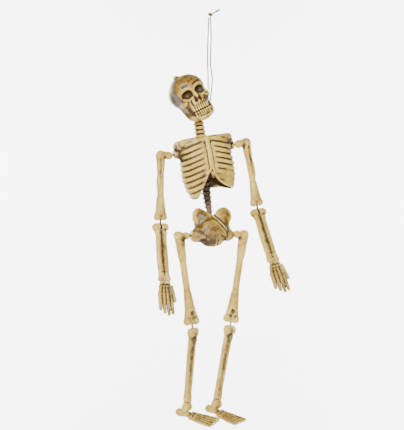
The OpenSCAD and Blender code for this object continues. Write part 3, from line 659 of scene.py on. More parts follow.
def sculpt_pelvis():
    c = Clay((-29, -22, -36), (29, 16, 16), 0.5)
    # one solid basin: the belly, the lower mass and the sacrum behind
    c.egg((0, -4, -9), (20.5, 8, 12), 2)
    c.egg((-1.0, -8, -19), (18.6, 8.2, 11.5), 7)
    c.egg((-1.5, -8.5, -26.5), (12.5, 6.2, 6.4), 3)
    c.egg((0, 3.5, -10), (9, 6, 13), 3)
    c.egg((-1.5, -12.6, -13), (13, 4.4, 9), 7)
    # wings, rolled outwards along their crests
    for side in (-1, 1):
        c.egg((side * 13.6, -4.2, 0.8), (8.6, 5.6, 9.8), 6)
        c.line([(side * 9, 1, 6), (side * 13, -1, 9), (side * 17.6, -4, 8.4), (side * 20.4, -6, 3.4),
                (side * 20, -7, -4)], 2.4, 2.6)
        c.rod((side * 18, -5, -3), (side * 19, -4, -13), 4.0, 4.2, 3)
        # hip socket
        c.egg((side * 19.0, HIP_Y - 1, HIP_Z), (5.6, 7.4, 6.8), 6)
        c.rod((side * 18, HIP_Y, HIP_Z), (side * 24.6, HIP_Y, HIP_Z), 5.8, 5.0, 4)
        c.block((side * 27.6, HIP_Y, HIP_Z), (2.9, 9, 9), 0.4, True)
        c.stain_and_shade((side * 24, HIP_Y - 4, HIP_Z + 2), (2.4, 5, 5), 0.6)
    for x in (-6, 8):
        c.egg((x, -6.4, -1.5), (9, 5, 8), 3)
    # hollows: the notch between the wings, the waist at each side, the seat's two recesses
    c.egg((0.5, -9, 10.5), (4.4, 10, 6.4), 4, True)
    for side in (-1, 1):
        c.egg((side * 25.4, -6, -8.6), (4.4, 10, 5.0), 5, True)
    c.egg((-13.6, -13.4, -28), (6.2, 6.4, 4.6), 1.6, True)
    c.egg((-9.5, -16.4, -29.6), (4.4, 5.4, 3.4), 1.6, True)
    c.egg((12.6, -13, -27.6), (3.4, 5, 4.4), 2, True)
    c.stain_and_shade((-10.0, -11, -29), (9.6, 10, 4.4), 1.3)
    c.stain_and_shade((12.4, -9, -27), (3.4, 6, 4.2), 0.5)
    c.stain_and_shade((-16, -11, -7), (4, 6, 6), 0.22)
    # folds and grooves over the belly
    c.press([(3.4, -25.5), (3.2, -32.5)], 0.7, 1.3, -4)
    c.press([(-1.6, 1.0), (5, -6), (12.6, -14.6), (15.5, -20)], 0.8, 1.0, -2)
    c.press([(1.8, 2.6), (8.6, -4.4), (15.6, -12.6)], 0.8, 1.0, -2)
    c.press([(0, 1.8), (6.8, -5.2), (14, -13.6)], 0.7, -0.7, -2)
    c.press([(-20, -15), (-14, -17.5), (-10, -21.5)], 2.2, 0.4, -2)
    c.press([(7, -20.4), (12, -22.6), (16, -22)], 1.2, 0.4, -4)
    for k in range(4):
        c.press([(-5, -3 - 4.2 * k), (5, -3 - 4.2 * k)], 0.7, 0.7, back=3)
        for side in (-1, 1):
            c.egg((side * 3.4, 9.6, -4.6 - 4.2 * k), (0.9, 2, 0.8), 0.5, True)
    # room for the waist's eye and the end of the spine
    c.block((0, 0, 8.4), (8, SLOT_HALF, 11.5), cut=True)
    c.block((0, 2, 9.4), (5, 7, 6.1), 0.6, cut=True)
    for side in (-1, 1):
        c.bore((side * 14, HIP_Y, HIP_Z), (side * 30, HIP_Y, HIP_Z))
    return c


# ---------- Long bones, at the viewer's left ----------
HUMERUS_LEN, HUMERUS_OFF = 73, 9.3
FEMUR_LEN, FEMUR_OFF = 100, 8.3


def ball_and_neck(c, ball_r, offset, top_r, rise):
    c.egg((0, 0, 0), (ball_r, ball_r, ball_r), 0)
    c.rod((0, 0, 0), (-offset, 0, offset * rise), ball_r * 0.78, top_r * 0.9, 1.6)
    c.rod((0, 0, 0.2), (-offset * 0.5, 0, offset * 0.5 * rise), ball_r * 0.84, top_r * 0.8, 1)
    c.block((-EYE_ROOM + 5.6, 0, 1.6), (5.6, SLOT_HALF, 4.8), cut=True)


def sculpt_humerus():
    x0, n = -HUMERUS_OFF, HUMERUS_LEN
    c = Clay((-19, -9, -77), (7, 9, 8), 0.45)
    c.rod((x0, 0, -2), (x0, 0, -n + 9), 3.9, 3.8, 0)
    c.rod((x0, 0, 0), (x0, 0, -14), 4.8, 3.9, 3)
    c.rod((x0, 0, -n + 22), (x0, 0, -n + 9), 3.8, 4.6, 4)
    c.egg((x0 - 0.6, 0, -0.4), (4.9, 4.8, 5.0), 2)
    c.egg((x0 - 1, -3.4, -1.4), (3.2, 2.4, 3.6), 1.2)
    c.line([(x0 + 1.8, -3.4, -4), (x0 + 1.6, -3.8, -12), (x0 + 0.4, -3.7, -22)], 1.1, 1.2)
    c.press([(x0 - 1.2, -3), (x0 - 0.6, -12), (x0 - 0.2, -22)], 1.1, 0.4, 0)
    c.egg((x0 - 2.6, -1, -30), (2.2, 2.6, 9), 2.4)
    ball_and_neck(c, 4.6, HUMERUS_OFF, 4.9, 0.07)
    # lower end: condyles with a waist between them, hollows front and back
    for side in (-1, 1):
        flare = [(x0, 0, -n + 24), (x0 + side * 1.0, 0, -n + 16), (x0 + side * 3.4, 0, -n + 6)]
        c.line(flare, 3.6, 1.8, r_end=3.5)
        c.egg((x0 + side * 3.9, 0, -n + 3.9), (3.8, 4.2, 3.9), 1.4)
    c.rod((x0 - 3, 0, -n + 4.6), (x0 + 3, 0, -n + 4.6), 3.4, 3.4, 1)
    c.egg((x0, 5.0, -n + 9.4), (3.0, 1.8, 3.4), 1.2, True)
    c.press([(x0 + 0.2, -n + 5), (x0 + 0.2, -n - 1)], 0.8, 0.45)
    c.bore((x0, 0, -n - 4), (x0, 0, -n + 9))
    c.stain_and_shade((x0, -4, -n + 8.5), (3.0, 3, 3.4), 0.3)
    c.stain_and_shade((x0 + 4, -3, -4.5), (2, 3, 2.4), 0.5)
    return c


def sculpt_femur():
    x0, n = -FEMUR_OFF, FEMUR_LEN
    c = Clay((-20, -9, -104), (7, 10, 9), 0.45)
    c.rod((x0, 0, -3), (x0, 0, -n + 12), 3.9, 3.9, 0)
    c.rod((x0, 0, 0), (x0, 0, -22), 5.4, 3.9, 4)
    c.rod((x0, 0, -n + 26), (x0, 0, -n + 11), 3.9, 4.9, 5)
    c.egg((x0 - 0.8, 0.6, 0.6), (5.0, 5.0, 5.6), 2)
    c.egg((x0 - 3.2, 1.6, 2.6), (2.6, 3, 3.4), 1.4)
    c.egg((x0 + 2.6, -1.4, -7.6), (2.9, 3.2, 4.0), 2)
    c.line([(x0 - 2.6, -3.6, -4), (x0 - 0.4, -4.6, -6.4), (x0 + 3.4, -3.6, -8)], 1.0, 1.2)
    c.line([(x0 + 0.4, 4.0, -14), (x0, 4.4, -50), (x0, 4.4, -n + 26)], 0.9, 1.4)
    ball_and_neck(c, 4.3, FEMUR_OFF, 5.0, -0.07)
    for side in (-1, 1):
        flare = [(x0, 0, -n + 34), (x0 + side * 1.2, 0, -n + 24), (x0 + side * 3.0, 0.2, -n + 14),
                 (x0 + side * 5.4, 0.5, -n + 5)]
        c.line(flare, 3.9, 2.0, r_end=3.6)
        c.egg((x0 + side * 5.2, 0.6, -n + 3.9), (4.0, 5.0, 3.9), 1.6)
    c.block((x0, 0, -n + 4.4), (7.6, 3.9, 3.9), 1.5, r=3.0)
    c.egg((x0 + 0.6, -5.6, -n + 8), (2.8, 1.0, 5), 3, True)
    c.egg((x0, 6.0, -n + 4.0), (2.2, 3.4, 4.6), 1.2, True)
    c.press([(x0 + 1.2, -n + 14), (x0 + 1.4, -n + 6), (x0 + 0.6, -n + 1)], 1.9, 0.35, 0)
    c.bore((x0, 0, -n - 4), (x0, 0, -n + 9))
    c.stain_and_shade((x0 + 4.2, -3, -5.2), (2.8, 3, 3.0), 0.5)
    c.stain_and_shade((x0 + 1.4, -4.5, -n + 10), (1.8, 3, 8), 0.2)
    c.stain_and_shade((x0 - 6.6, 0, -n + 13), (1.6, 3, 5), 0.4)
    return c


FOREARM_LEN, SHIN_LEN = 60, 86.5
TONGUE_ROOM = 1.4                # half the width of the slot for a hand's or foot's tongue


def end_slots(c, down, half):
    """The slot for the eye at the upper end and the one for the tongue at the lower end."""
    c.block((0, 0, 4.4), (SLOT_HALF, 10, 7.5), cut=True)
    c.block((0, 0, -down), (TONGUE_ROOM, 10, half), cut=True)


def sculpt_forearm():
    n = FOREARM_LEN
    c = Clay((-10, -8, -67), (10, 8, 7), 0.45)
    # ulna (viewer's right) and radius, apart along their length with a dark gap between
    c.line([(-3.4, 0, -2), (-4.1, -0.4, -18), (-4.5, -0.4, -34), (-3.6, 0, -n + 3)], 2.7, 0.5, r_end=2.9)
    c.line([(3.3, 0, -2), (3.7, 0.4, -18), (3.9, 0.4, -34), (3.3, 0, -n + 3)], 2.6, 0.5, r_end=2.7)
    c.block((0, 0, -31), (2.8, 2.1, 27), 2.6, r=1.5)
    c.rod((-5.6, 0, 0), (5.6, 0, 0), 4.2, 4.2, 1.2)
    c.block((0, 0, 1.4), (7.2, 3.6, 2.7), 0.8, r=1.4)
    c.egg((-4.6, -0.3, -4.6), (2.9, 3.5, 4.2), 1.4)
    c.egg((4.2, 0.2, -6.6), (3.0, 3.3, 4.6), 1.4)
    c.egg((5.9, 0, -0.4), (1.5, 3.6, 3.6), 0.8)
    c.egg((-5.9, 0, -0.4), (1.5, 3.6, 3.6), 0.8)
    c.stain_and_shade((0, 0, -14), (2.0, 6, 12), 0.16)
    c.stain_and_shade((0.2, 0, -42), (1.8, 6, 14), 0.14)
    # lower end
    c.rod((-4.6, 0, -n), (4.6, 0, -n), 3.0, 3.0, 1.2)
    c.egg((-4.2, 0, -n + 3.6), (2.3, 3.0, 3.8), 1.2)
    c.egg((4.2, 0, -n + 3.6), (2.2, 3.0, 3.6), 1.2)
    c.press([(-5, -n + 8), (5, -n + 8)], 0.8, 0.35)
    end_slots(c, n + 1.7, 5.1)
    return c


def sculpt_shin():
    n = SHIN_LEN
    c = Clay((-11, -8, -94), (11, 10, 7), 0.45)
    # tibia with the thin fibula behind its outer side
    c.rod((0.6, 0, -4), (0.2, 0, -26), 4.9, 3.9, 0)
    c.line([(0.2, 0, -22), (0, -0.3, -50), (-0.2, 0, -n + 8)], 3.5, 1.5, r_end=3.9)
    c.stain_and_shade((-2.4, -2.5, -40), (1.1, 4, 30), 0.3)
    c.line([(0.4, -3.4, -8), (0.2, -3.7, -30), (0, -3.3, -60)], 0.9, 1.4)
    c.line([(-3.9, 1.2, -6), (-3.5, 1.6, -30), (-3.2, 1.2, -60), (-3.4, 0.4, -n + 2)], 1.8, 2.6, r_end=1.9)
    c.stain_and_shade((-1.5, -3, -16), (1.6, 4, 12), 0.4)
    c.rod((-5, 0, 0), (5, 0, 0), 4.2, 4.2, 1.4)
    c.egg((-4.2, 0, -3), (3.8, 4.4, 4.4), 1.4)
    c.egg((4.2, 0, -3), (3.8, 4.4, 4.4), 1.4)
    c.egg((0.4, -3.6, -8.6), (2.6, 1.8, 3.6), 1.4)
    c.press([(-6.5, -5.4), (0, -5.8), (6.5, -5.4)], 0.7, 0.45)
    c.stain_and_shade((-1.4, -4, -7.0), (3.0, 4, 4.4), 0.45)
    # ankle
    c.rod((-3.4, 0, -n), (3.4, 0, -n), 4.4, 4.4, 1.2)
    c.egg((-4.7, 0, -n - 0.6), (1.9, 3.4, 4.6), 1)
    c.egg((4.7, 0, -n + 0.4), (1.9, 3.6, 4.4), 1)
    c.rod((0, 0, -n + 2), (0, 0, -n + 13), 4.6, 3.9, 2.5)
    c.press([(-4.8, -n + 6.4), (0, -n + 5.6), (4.8, -n + 6.4)], 0.8, 0.4)
    end_slots(c, n + 2.0, 6.7)
    return c


def add_tongue(c, reach, eye_r=2.5, half=1.05):
    c._mix(lambda p: np.maximum(np.sqrt(p[1] ** 2 + p[2] ** 2) - eye_r, np.abs(p[0]) - half),
           (-half, -eye_r, -eye_r), (half, eye_r, eye_r), 0.2, False)
    c.block((0, 0, -reach / 2 - 0.6), (half, 2.2, reach / 2 + 0.6), 0.3)
    c.bore((-3, 0, 0), (3, 0, 0), PIN_HOLE_R)


# Finger's sideways place, its spread in degrees and its length
FINGERS = [(-6.8, -1.5, 19.6), (-2.5, -0.6, 23), (1.8, 0.4, 25.5), (6, 1.4, 24)]


def finger(c, base, spread, length, r, bones, tilt=0.0):
    """A finger or toe of a few bones with knuckles between them."""
    direction = np.array([np.sin(np.radians(spread)), -np.sin(np.radians(tilt)), -1.0])
    direction /= np.linalg.norm(direction)
    shares = np.array(bones, float) / sum(bones)
    at = np.asarray(base, float)
    for k, share in enumerate(shares):
        to = at + direction * length * share
        ra, rb = r * (1 - 0.1 * k), r * (0.95 - 0.1 * k)
        if k == len(shares) - 1:
            to = to - direction * rb * 0.8
        c.rod(at + direction * 0.5, to - direction * 0.3, ra * 0.93, rb * 0.91, 0.15)
        c.egg(at + direction * 0.7, (ra * 1.06, ra, ra), 0.3)
        c.egg(to - direction * 0.5, (rb, rb, rb), 0.3)
        c.stain_and_shade(tuple(to), (1.6, 2.4, 0.7), 0.35)
        at = to


def sculpt_hand():
    c = Clay((-12, -8, -46), (15, 8, 4), 0.4)
    # wrist bones in two rows
    for x, z, r in ((-4.0, -5.4, 2.3), (0.2, -5.6, 2.4), (4.3, -5.4, 2.3),
                    (-5.4, -8.8, 2.2), (-1.8, -9.0, 2.2), (1.8, -8.9, 2.2), (5.4, -8.7, 2.2)):
        c.egg((x, -0.2, z), (r, 2.5, r * 0.92), 0.55)
    c.block((0.1, 0, -8), (5.0, 1.3, 4.2), 0.5, r=1.0)
    # palm bones
    palm_z = -17
    for x, _, _ in FINGERS:
        c.rod((x * 0.8, 0, -10), (x, 0, palm_z - 0.4), 1.8, 2.0, 0.35)
        c.egg((x, -0.2, palm_z), (2.2, 2.1, 2.1), 0.4)
    c.block((0, 0.4, -13.2), (6.6, 1.0, 5.2), 0.6, r=0.8)
    for a, b in zip(FINGERS, FINGERS[1:]):
        x = (a[0] + b[0]) / 2
        c.press([(x * 0.72, -10.4), (x, -18)], 0.5, 0.5)
        c.stain_and_shade((x * 0.9, -1, -14), (0.6, 4, 3.6), 0.3)
    c.stain_and_shade((0, -2, -7), (6, 3, 0.7), 0.55)
    c.stain_and_shade((0, -2, -10.6), (6, 3, 0.7), 0.45)
    for x, spread, length in FINGERS:
        finger(c, (x, 0, palm_z), spread, length, 2.55, (10, 7, 6))
    finger(c, (6.8, -0.8, -9.2), 10, 18.8, 2.45, (7, 6, 5), 2)
    c.bore((-16, 0, 0), (16, 0, 0), 3.45)
    add_tongue(c, 6)
    return c


FOOT_ROLL = 30


def sculpt_foot():
    c = Clay((-15, -44, -19), (15, 16, 6), 0.45)
    sole = -12.0

    def rolled(p):
        """A point of the level foot, rolled about the foot's length."""
        a = np.radians(-FOOT_ROLL)
        x, y, z = float(p[0]), float(p[1]), float(p[2]) + 8
        return np.array((x * np.cos(a) + z * np.sin(a), y, -x * np.sin(a) + z * np.cos(a) - 8))
    # heel and ankle bones
    c.egg(rolled((0, 8.2, sole + 4.6)), (4.4, 5.2, 4.6), 0)
    c.egg(rolled((0, 3.6, -7.6)), (4.6, 5, 3.8), 1.6)
    c.egg(rolled((0, -2.2, -7.4)), (4.8, 4.8, 3.8), 1.5)
    for x in (-3.8, 0, 3.8):
        c.egg(rolled((x, -8.0, -8.2)), (2.5, 3.0, 2.9), 0.5)
        c.egg(rolled((x * 1.1, -12.2, -8.6)), (2.4, 2.8, 2.7), 0.5)
    c.stain_and_shade(rolled((0, -5.2, -5.6)), (6, 0.8, 6), 0.5)
    c.stain_and_shade(rolled((0, -10.2, -5.8)), (6, 0.8, 6), 0.5)
    # instep bones and toes, each with its knuckles
    for k in range(-2, 3):
        ball = np.array((k * 3.3, -24.5, -9.6))
        c.rod(rolled((k * 2.7, -13.5, -9.0)), rolled(ball), 1.75, 1.65, 0.3)
        c.egg(rolled(ball), (1.85, 2.0, 1.95), 0.35)
        direction = np.array((np.sin(np.radians(2.2 * k)), -1.0, -0.03))
        reach = 15.3 - abs(k - 1) * 1.1
        at = ball
        for j, share in enumerate((0.42, 0.3, 0.28)):
            to = at + direction * reach * share
            r = 1.75 - 0.12 * j
            c.rod(rolled(at), rolled(to - direction * 0.4), r * 0.82, r * 0.78, 0.3)
            c.egg(rolled(to - direction * 0.9), (r, r, r), 0.35)
            c.stain_and_shade(rolled(at + direction * 0.4), (2.2, 0.8, 2.2), 0.45)
            at = to
    for k in range(-2, 2):
        for y in (-15, -19, -23, -28, -33):
            between = 3.0 + 0.02 * (-y)
            c.stain_and_shade(rolled(((k + 0.5) * between, y, -8.4)), (0.75, 2.6, 1.6), 0.45)
    # the arch below, the wedge between heel and instep
    c.egg(rolled((0, -6, sole - 0.4)), (4.6, 8.5, 2.0), 1.5, True)
    c.bore((-16, 0, 0), (16, 0, 0), 4.95)
    add_tongue(c, 8)
    return c


# ---------- Materials ----------
def linear(r, g, b):
    """A colour given as sRGB from 0 to 255."""
    out = []
    for c in (r, g, b):
        c /= 255
        out.append(c / 12.92 if c <= 0.04045 else ((c + 0.055) / 1.055) ** 2.4)
    return (*out, 1)


class Paint:
    """A material's nodes, with short ways to add and join them."""

    def __init__(self, name):
        self.material = bpy.data.materials.new(name)
        self.material.use_nodes = True
        self.nodes, self.links = self.material.node_tree.nodes, self.material.node_tree.links
        self.nodes.clear()
        out = self.nodes.new("ShaderNodeOutputMaterial")
        self.bsdf = self.nodes.new("ShaderNodeBsdfPrincipled")
        self.links.new(self.bsdf.outputs["BSDF"], out.inputs["Surface"])
        self.coord = self.nodes.new("ShaderNodeTexCoord").outputs["Object"]

    def put(self, socket, value):
        """Sets a socket to a constant, or joins another node's output to it."""
        if isinstance(value, (int, float, tuple)):
            socket.default_value = value
        else:
            self.links.new(value, socket)

    def attribute(self, label):
        node = self.nodes.new("ShaderNodeAttribute")
        node.attribute_name = label
        return node.outputs["Fac"]

    def stretched(self, scales):
        node = self.nodes.new("ShaderNodeVectorMath")
        node.operation = "MULTIPLY"
        node.inputs[1].default_value = scales
        self.links.new(self.coord, node.inputs[0])
        return node.outputs["Vector"]

    def noise(self, scale, detail, rough=0.55, coord=None):
        node = self.nodes.new("ShaderNodeTexNoise")
        for label, value in (("Scale", scale), ("Detail", detail), ("Roughness", rough)):
            node.inputs[label].default_value = value
        self.links.new(coord or self.coord, node.inputs["Vector"])
        return node.outputs["Fac"]

    def ramp(self, value, low, high, a=0.0, b=1.0):
        node = self.nodes.new("ShaderNodeMapRange")
        self.put(node.inputs["Value"], value)
        for label, v in (("From Min", low), ("From Max", high), ("To Min", a), ("To Max", b)):
            self.put(node.inputs[label], v)
        return node.outputs["Result"]

    def join(self, kind, a, b, clamp=False):
        node = self.nodes.new("ShaderNodeMath")
        node.operation, node.use_clamp = kind, clamp
        self.put(node.inputs[0], a)
        self.put(node.inputs[1], b)
        return node.outputs["Value"]

    def mix(self, factor, a, b):
        node = self.nodes.new("ShaderNodeMix")
        node.data_type = "RGBA"
        for label, value in (("Factor", factor), ("A", a), ("B", b)):
            self.put(node.inputs[label], value)
        return node.outputs["Result"]

    def surface(self, colour, rough, bump=None, strength=0.0, distance=0.0):
        self.links.new(colour, self.bsdf.inputs["Base Color"])
        self.put(self.bsdf.inputs["Roughness"], rough)
        if bump is not None:
            node = self.nodes.new("ShaderNodeBump")
            node.inputs["Strength"].default_value = strength
            node.inputs["Distance"].default_value = distance
            self.links.new(bump, node.inputs["Height"])
            self.links.new(node.outputs["Normal"], self.bsdf.inputs["Normal"])
        return self.material


def bone_material(name, pale, warm, wash_and_shade, dark, wash_amount, rough=0.5):
    """Moulded resin with a brown wash in its hollows and painted shade where its pieces mark it, rubbed pale
    on its ridges.
    """
    p = Paint(name)
    fine, broad, stain_and_shade = (p.attribute(label) for label in ("fine", "broad", "stain_and_shade"))
    cloud, mottle, grain = (p.noise(scale, detail) for scale, detail in ((48, 4), (230, 5), (1500, 3)))
    bright = tuple(min(255, c + 14) for c in pale)
    ridge = p.ramp(p.join("ADD", fine, p.join("MULTIPLY", mottle, 0.10)), -0.02, -0.22)
    body = p.mix(p.ramp(cloud, 0.36, 0.66), linear(*pale), linear(*warm))
    body = p.mix(p.join("MULTIPLY", ridge, 0.55), body, linear(*bright))
    # the wash lies in fine and broad hollows, broken up by the mottle, in long smears and in painted stains;
    # the stain_and_shade attribute also brings painted shade into it
    hollow = p.join("ADD", p.ramp(fine, 0.0, 0.2, 0, 0.4), p.ramp(broad, -0.34, 0.36, 0, 0.85))
    hollow = p.join("MULTIPLY", hollow, p.ramp(mottle, 0.3, 0.7, 0.55, 1.2))
    hollow = p.join("MULTIPLY", hollow, wash_amount)
    smear = p.noise(1, 5, 0.62, p.stretched((150, 150, 42)))
    hollow = p.join("ADD", hollow, p.ramp(smear, 0.52, 0.72, 0, 0.5))
    stain_and_shade = p.join("MULTIPLY", stain_and_shade, p.ramp(mottle, 0.3, 0.7, 0.75, 1.1))
    hollow = p.join("ADD", hollow, stain_and_shade, clamp=True)
    body = p.mix(p.ramp(hollow, 0.05, 0.75), body, linear(*wash_and_shade))
    body = p.mix(p.ramp(hollow, 0.88, 1.0, 0, 0.6), body, linear(*dark))
    specks = p.ramp(p.noise(620, 2, 0.4), 0.64, 0.72, 0, 0.35)
    body = p.mix(specks, body, linear(*wash_and_shade))
    p.bsdf.inputs["Specular IOR Level"].default_value = 0.6
    relief = p.join("ADD", grain, p.join("MULTIPLY", mottle, 1.6))
    return p.surface(body, p.ramp(mottle, 0.3, 0.7, rough - 0.14, rough + 0.08), relief, 0.35, 0.00012)


def metal_material(name, colour, worn, rough):
    p = Paint(name)
    patches, scratches = p.noise(420, 4), p.noise(2600, 3)
    body = p.mix(p.ramp(patches, 0.4, 0.62), linear(*colour), linear(*worn))
    p.bsdf.inputs["Metallic"].default_value = 0.85
    return p.surface(body, p.ramp(scratches, 0.3, 0.7, rough - 0.1, rough + 0.15), scratches, 0.3, 0.00008)


def twine_material(name, straw, shade):
    p = Paint(name)
    tone, fibre = p.noise(160, 4), p.noise(2400, 4)
    body = p.mix(p.ramp(tone, 0.35, 0.65), linear(*straw), linear(*shade))
    body = p.mix(p.ramp(fibre, 0.52, 0.7, 0, 0.5), body, linear(*shade))
    return p.surface(body, p.ramp(fibre, 0.3, 0.7, 0.72, 0.95), fibre, 0.6, 0.00015)


ivory = bone_material("ivory_resin", (238, 206, 98), (200, 158, 54), (96, 66, 18), (44, 30, 12), 1.7)
dark_bone = bone_material("umber_resin", (132, 106, 68), (74, 54, 30), (32, 21, 10), (18, 11, 6), 1.6, 0.55)
bronzed = bone_material("tan_resin", (218, 184, 84), (180, 142, 50), (88, 62, 18), (36, 25, 10), 1.3, 0.55)
blackened = metal_material("blackened_wire", (52, 48, 44), (112, 100, 86), 0.46)
bright_wire = metal_material("bright_wire", (172, 160, 140), (126, 112, 92), 0.36)
jute = twine_material("jute", (92, 68, 40), (58, 40, 22))


# ---------- Bones in place ----------
def place(clay, name, at, body, node, finish, mirror=False):
    piece = clay.mesh(name, at, mirror)
    piece.data.materials.append(finish)
    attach(piece, body)
    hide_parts(node)
    return piece


place(sculpt_skull(), "skull_cast", skull_at, "skull", "skull", ivory)
place(sculpt_ribcage(), "ribcage_cast", torso_at, "torso", "ribcage", ivory)
place(sculpt_neck(), "neck_cast", torso_at, "torso", "neck_column", ivory)
place(sculpt_lumbar(), "lumbar_cast", torso_at, "torso", "lumbar_spine", dark_bone)
place(sculpt_pelvis(), "pelvis_cast", pelvis_at, "pelvis", "pelvis", ivory)
LIMB_BONES = {
    "humerus": (sculpt_humerus(), True, ivory, "bone"),
    "forearm": (sculpt_forearm(), False, ivory, "bone"),
    "hand": (sculpt_hand(), False, bronzed, "hand_foot_bone"),
    "femur": (sculpt_femur(), True, ivory, "bone"),
    "shin": (sculpt_shin(), False, ivory, "bone"),
    "foot": (sculpt_foot(), False, bronzed, "hand_foot_bone"),
}
for side_name, side in SIDES.items():
    frames = limb_frames(side_name)
    for bone, (clay, mirrored, finish, slot) in LIMB_BONES.items():
        name = side_name + "_" + bone
        place(clay, name + "_cast", frames[bone], name, name, finish, mirrored and side > 0)

for name, node in frame["nodes"].items():
    if name.endswith("_peg") or name.endswith("_pin"):
        finish = bright_wire if "knee" in name or "ankle" in name else blackened
        node.data.materials.clear()
        node.data.materials.append(finish)


# ---------- Twine ----------
# Routes from the knot down to the neck, as the CAD has them, in metres
LEFT_ROUTE = [
    (-0.0009, 0, 0.0026), (-0.0013, 0, -0.008), (-0.0018, 0.0004, -0.022),
    (-0.0023, 0.0009, -0.041), (-0.0019, 0.0016, -0.058), (-0.0016, 0.0026, -0.074),
    (-0.0018, 0.0042, -0.086), (-0.0034, 0.0062, -0.097), (-0.0072, 0.0069, -0.105),
    (-0.0116, 0.0054, -0.109), (-0.0162, 0.0045, -0.1102), (-0.0185, 0, -0.1108),
]
RIGHT_ROUTE = [
    (0.0009, 0, 0.0026), (0.0016, 0, -0.010), (0.0017, 0, -0.026),
    (0.001, 0, -0.048), (0.0026, 0.0002, -0.062), (0.003, 0.0005, -0.071),
    (0.0018, 0.0008, -0.083), (0.0002, 0.0008, -0.094), (-0.003, -0.0004, -0.1025),
    (-0.0076, -0.0024, -0.1074), (-0.0124, -0.0051, -0.1096), (-0.0168, -0.004, -0.1106),
    (-0.0185, 0, -0.1108),
]
TWINE_D = 0.0012
LOOSE_LAY = 0.63                 # radius of the loosely laid plies, as a share of the diameter
KNOT_CENTRE = Vector((0.0009, 0, 0.0051))


def carried_frames(line, before):
    """A direction across the line at each point, carried along without twisting."""
    sides = []
    for i in range(len(line)):
        h = line[min(i + 1, len(line) - 1)] - line[max(i - 1, 0)]
        h /= np.linalg.norm(h)
        before = before - h * (before @ h)
        before = before / np.linalg.norm(before)
        sides.append((before, np.cross(h, before)))
    return sides


def strand_mesh(bm, line, radius, plies=2, turns_per_metre=260, sides=22, ply_r=0.32):
    """A twisted strand: a tube whose section has one lobe for each ply, turning along its length."""
    frames_along = carried_frames(line, np.array([1.0, 0, 0]))
    along = np.concatenate([[0], np.cumsum(np.linalg.norm(np.diff(line, axis=0), axis=1))])
    rings = []
    for i, (u, v) in enumerate(frames_along):
        twist = 2 * np.pi * turns_per_metre * along[i]
        ring = []
        for k in range(sides):
            a = 2 * np.pi * k / sides
            lobe = (1 - ply_r) + ply_r * abs(np.cos(plies * (a - twist / plies) / 2)) ** 0.7
            ring.append(bm.verts.new(line[i] + radius * lobe * (np.cos(a) * u + np.sin(a) * v)))
        rings.append(ring)
    for a, b in zip(rings, rings[1:]):
        for k in range(sides):
            j = (k + 1) % sides
            bm.faces.new((a[k], a[j], b[j], b[k]))
    bm.faces.new(list(reversed(rings[0])))
    bm.faces.new(rings[-1])


def finish_mesh(bm, name, mat):
    bmesh.ops.recalc_face_normals(bm, faces=bm.faces)
    mesh = bpy.data.meshes.new(name)
    bm.to_mesh(mesh)
    bm.free()
    mesh.shade_smooth()
    mesh.materials.append(mat)
    obj = bpy.data.objects.new(name, mesh)
    bpy.context.scene.collection.objects.link(obj)
    return obj


def resampled(line, step):
    line = np.array(line, float)
    along = np.concatenate([[0], np.cumsum(np.linalg.norm(np.diff(line, axis=0), axis=1))])
    n = int(along[-1] / step)
    at = np.linspace(0, along[-1], n + 1)
    return np.stack([np.interp(at, along, line[:, i]) for i in range(3)], axis=1)


def knot_mesh():
    """An overhand knot: two strands wound round the pair, and two frayed tails to the right."""
    bm = bmesh.new()
    c = np.array(KNOT_CENTRE)
    t = np.linspace(0, 1, 90)
    for turn in range(2):
        phase = np.pi * turn
        wind = 2 * np.pi * 1.15 * t + phase
        tilt = 0.45 if turn == 0 else -0.5
        r = 0.00185
        coil = np.stack([c[0] + r * np.cos(wind), c[1] + 0.0009 * np.sin(wind) - 0.0002,
                         c[2] - 0.0009 + 0.0018 * t + tilt * r * np.sin(wind)], axis=1)
        strand_mesh(bm, coil, TWINE_D * 0.62, turns_per_metre=300, sides=14)
    inner = np.stack([c[0] + 0.0006 * np.sin(5 * t), c[1] + 0.0004 * np.cos(4 * t),
                      c[2] - 0.0019 + 0.0038 * t], axis=1)
    strand_mesh(bm, inner, 0.0012, turns_per_metre=200, sides=14)
    ends = [np.array([0.0114, 0.0002, 0.0097]), np.array([0.0109, -0.0006, 0.0113])]
    rng = np.random.default_rng(7)
    for k, end in enumerate(ends):
        mid = (c + end) / 2 + np.array([0, -0.0006 * k, 0.0009 - 0.0012 * k])
        s = np.linspace(0, 1, 40)[:, None]
        path = (1 - s) ** 2 * c + 2 * s * (1 - s) * mid + s ** 2 * end
        strand_mesh(bm, path, TWINE_D * 0.56, turns_per_metre=240, sides=14)
        heading = (end - mid) / np.linalg.norm(end - mid)
        for _ in range(9):
            spread = rng.normal(0, 0.28, 3)
            start = end - heading * 0.0008 + rng.normal(0, 0.00018, 3)
            tip = start + (heading + spread) * (0.0012 + 0.0011 * rng.random())
            q = np.linspace(0, 1, 5)[:, None]
            hair = start + (tip - start) * q
            strand_mesh(bm, hair, 0.00007, turns_per_metre=0, sides=5, ply_r=0)
    return finish_mesh(bm, "twine_knot_tied", jute)


knot = knot_mesh()
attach(knot, "torso")
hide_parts("twine_knot")

for side_name, route in (("left", LEFT_ROUTE), ("right", RIGHT_ROUTE)):
    fine_line = resampled(curve(route, 8), 0.0003)
    bm = bmesh.new()
    strand_mesh(bm, fine_line, TWINE_D * LOOSE_LAY)
    strand = finish_mesh(bm, "twine_" + side_name + "_run", jute)
    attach(strand, "torso")
    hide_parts("twine_" + side_name + "_strand")


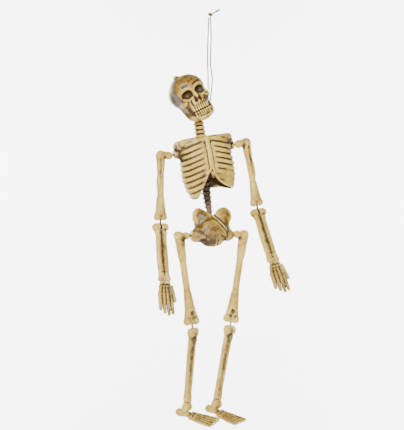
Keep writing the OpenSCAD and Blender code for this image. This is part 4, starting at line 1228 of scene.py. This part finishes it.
# ---------- Stage and light ----------
FLOOR_DROP = 0.35                # how far below the toes the floor lies
BACK_Y, SWEEP_R = 3.2, 0.6       # the backdrop's place, and the radius of the sweep up to it
FLOOR_Z = cad_box[0][2] - FLOOR_DROP


def studio():
    """A pale floor that rises behind the figure in one sweep."""
    bm = bmesh.new()
    profile = [(-4.0, FLOOR_Z)]
    for a in np.linspace(0, np.pi / 2, 13):
        profile.append((BACK_Y - SWEEP_R + SWEEP_R * np.sin(a), FLOOR_Z + SWEEP_R * (1 - np.cos(a))))
    profile.append((BACK_Y, FLOOR_Z + 4.0))
    rows = [[bm.verts.new((x, y, z)) for x in (-6, 6)] for y, z in profile]
    for a, b in zip(rows, rows[1:]):
        bm.faces.new((a[0], a[1], b[1], b[0]))
    paper = Paint("pale_paper")
    tone = paper.mix(paper.noise(3, 2), (0.90, 0.90, 0.90, 1), (0.93, 0.93, 0.93, 1))
    finish_mesh(bm, "studio_sweep", paper.surface(tone, 0.9))


studio()


def area_light(name, at, size, energy, target):
    data = bpy.data.lights.new(name, "AREA")
    data.shape = "DISK"
    data.size, data.energy = size, energy
    obj = bpy.data.objects.new(name, data)
    bpy.context.scene.collection.objects.link(obj)
    obj.location = at
    obj.rotation_euler = (Vector(target) - Vector(at)).to_track_quat("-Z", "Y").to_euler()


MIDDLE = (0, 0, -0.22)           # of the figure; the key is small and near the camera, for crisp shading
area_light("key", (-0.42, -2.1, 0.62), size=0.42, energy=74, target=MIDDLE)
area_light("fill", (1.1, -1.9, -0.1), size=0.9, energy=5, target=MIDDLE)
for name, side in SIDES.items():
    area_light("backdrop_" + name, (side * 1.9, 2.0, 0.3), size=1.4, energy=270,
               target=(side * 0.2, BACK_Y, -0.3))
world = bpy.data.worlds.new("studio")
bpy.context.scene.world = world
world.use_nodes = True
background = world.node_tree.nodes.get("Background") or world.node_tree.nodes.new("ShaderNodeBackground")
background.inputs["Color"].default_value = (1, 1, 1, 1)
background.inputs["Strength"].default_value = 0.15
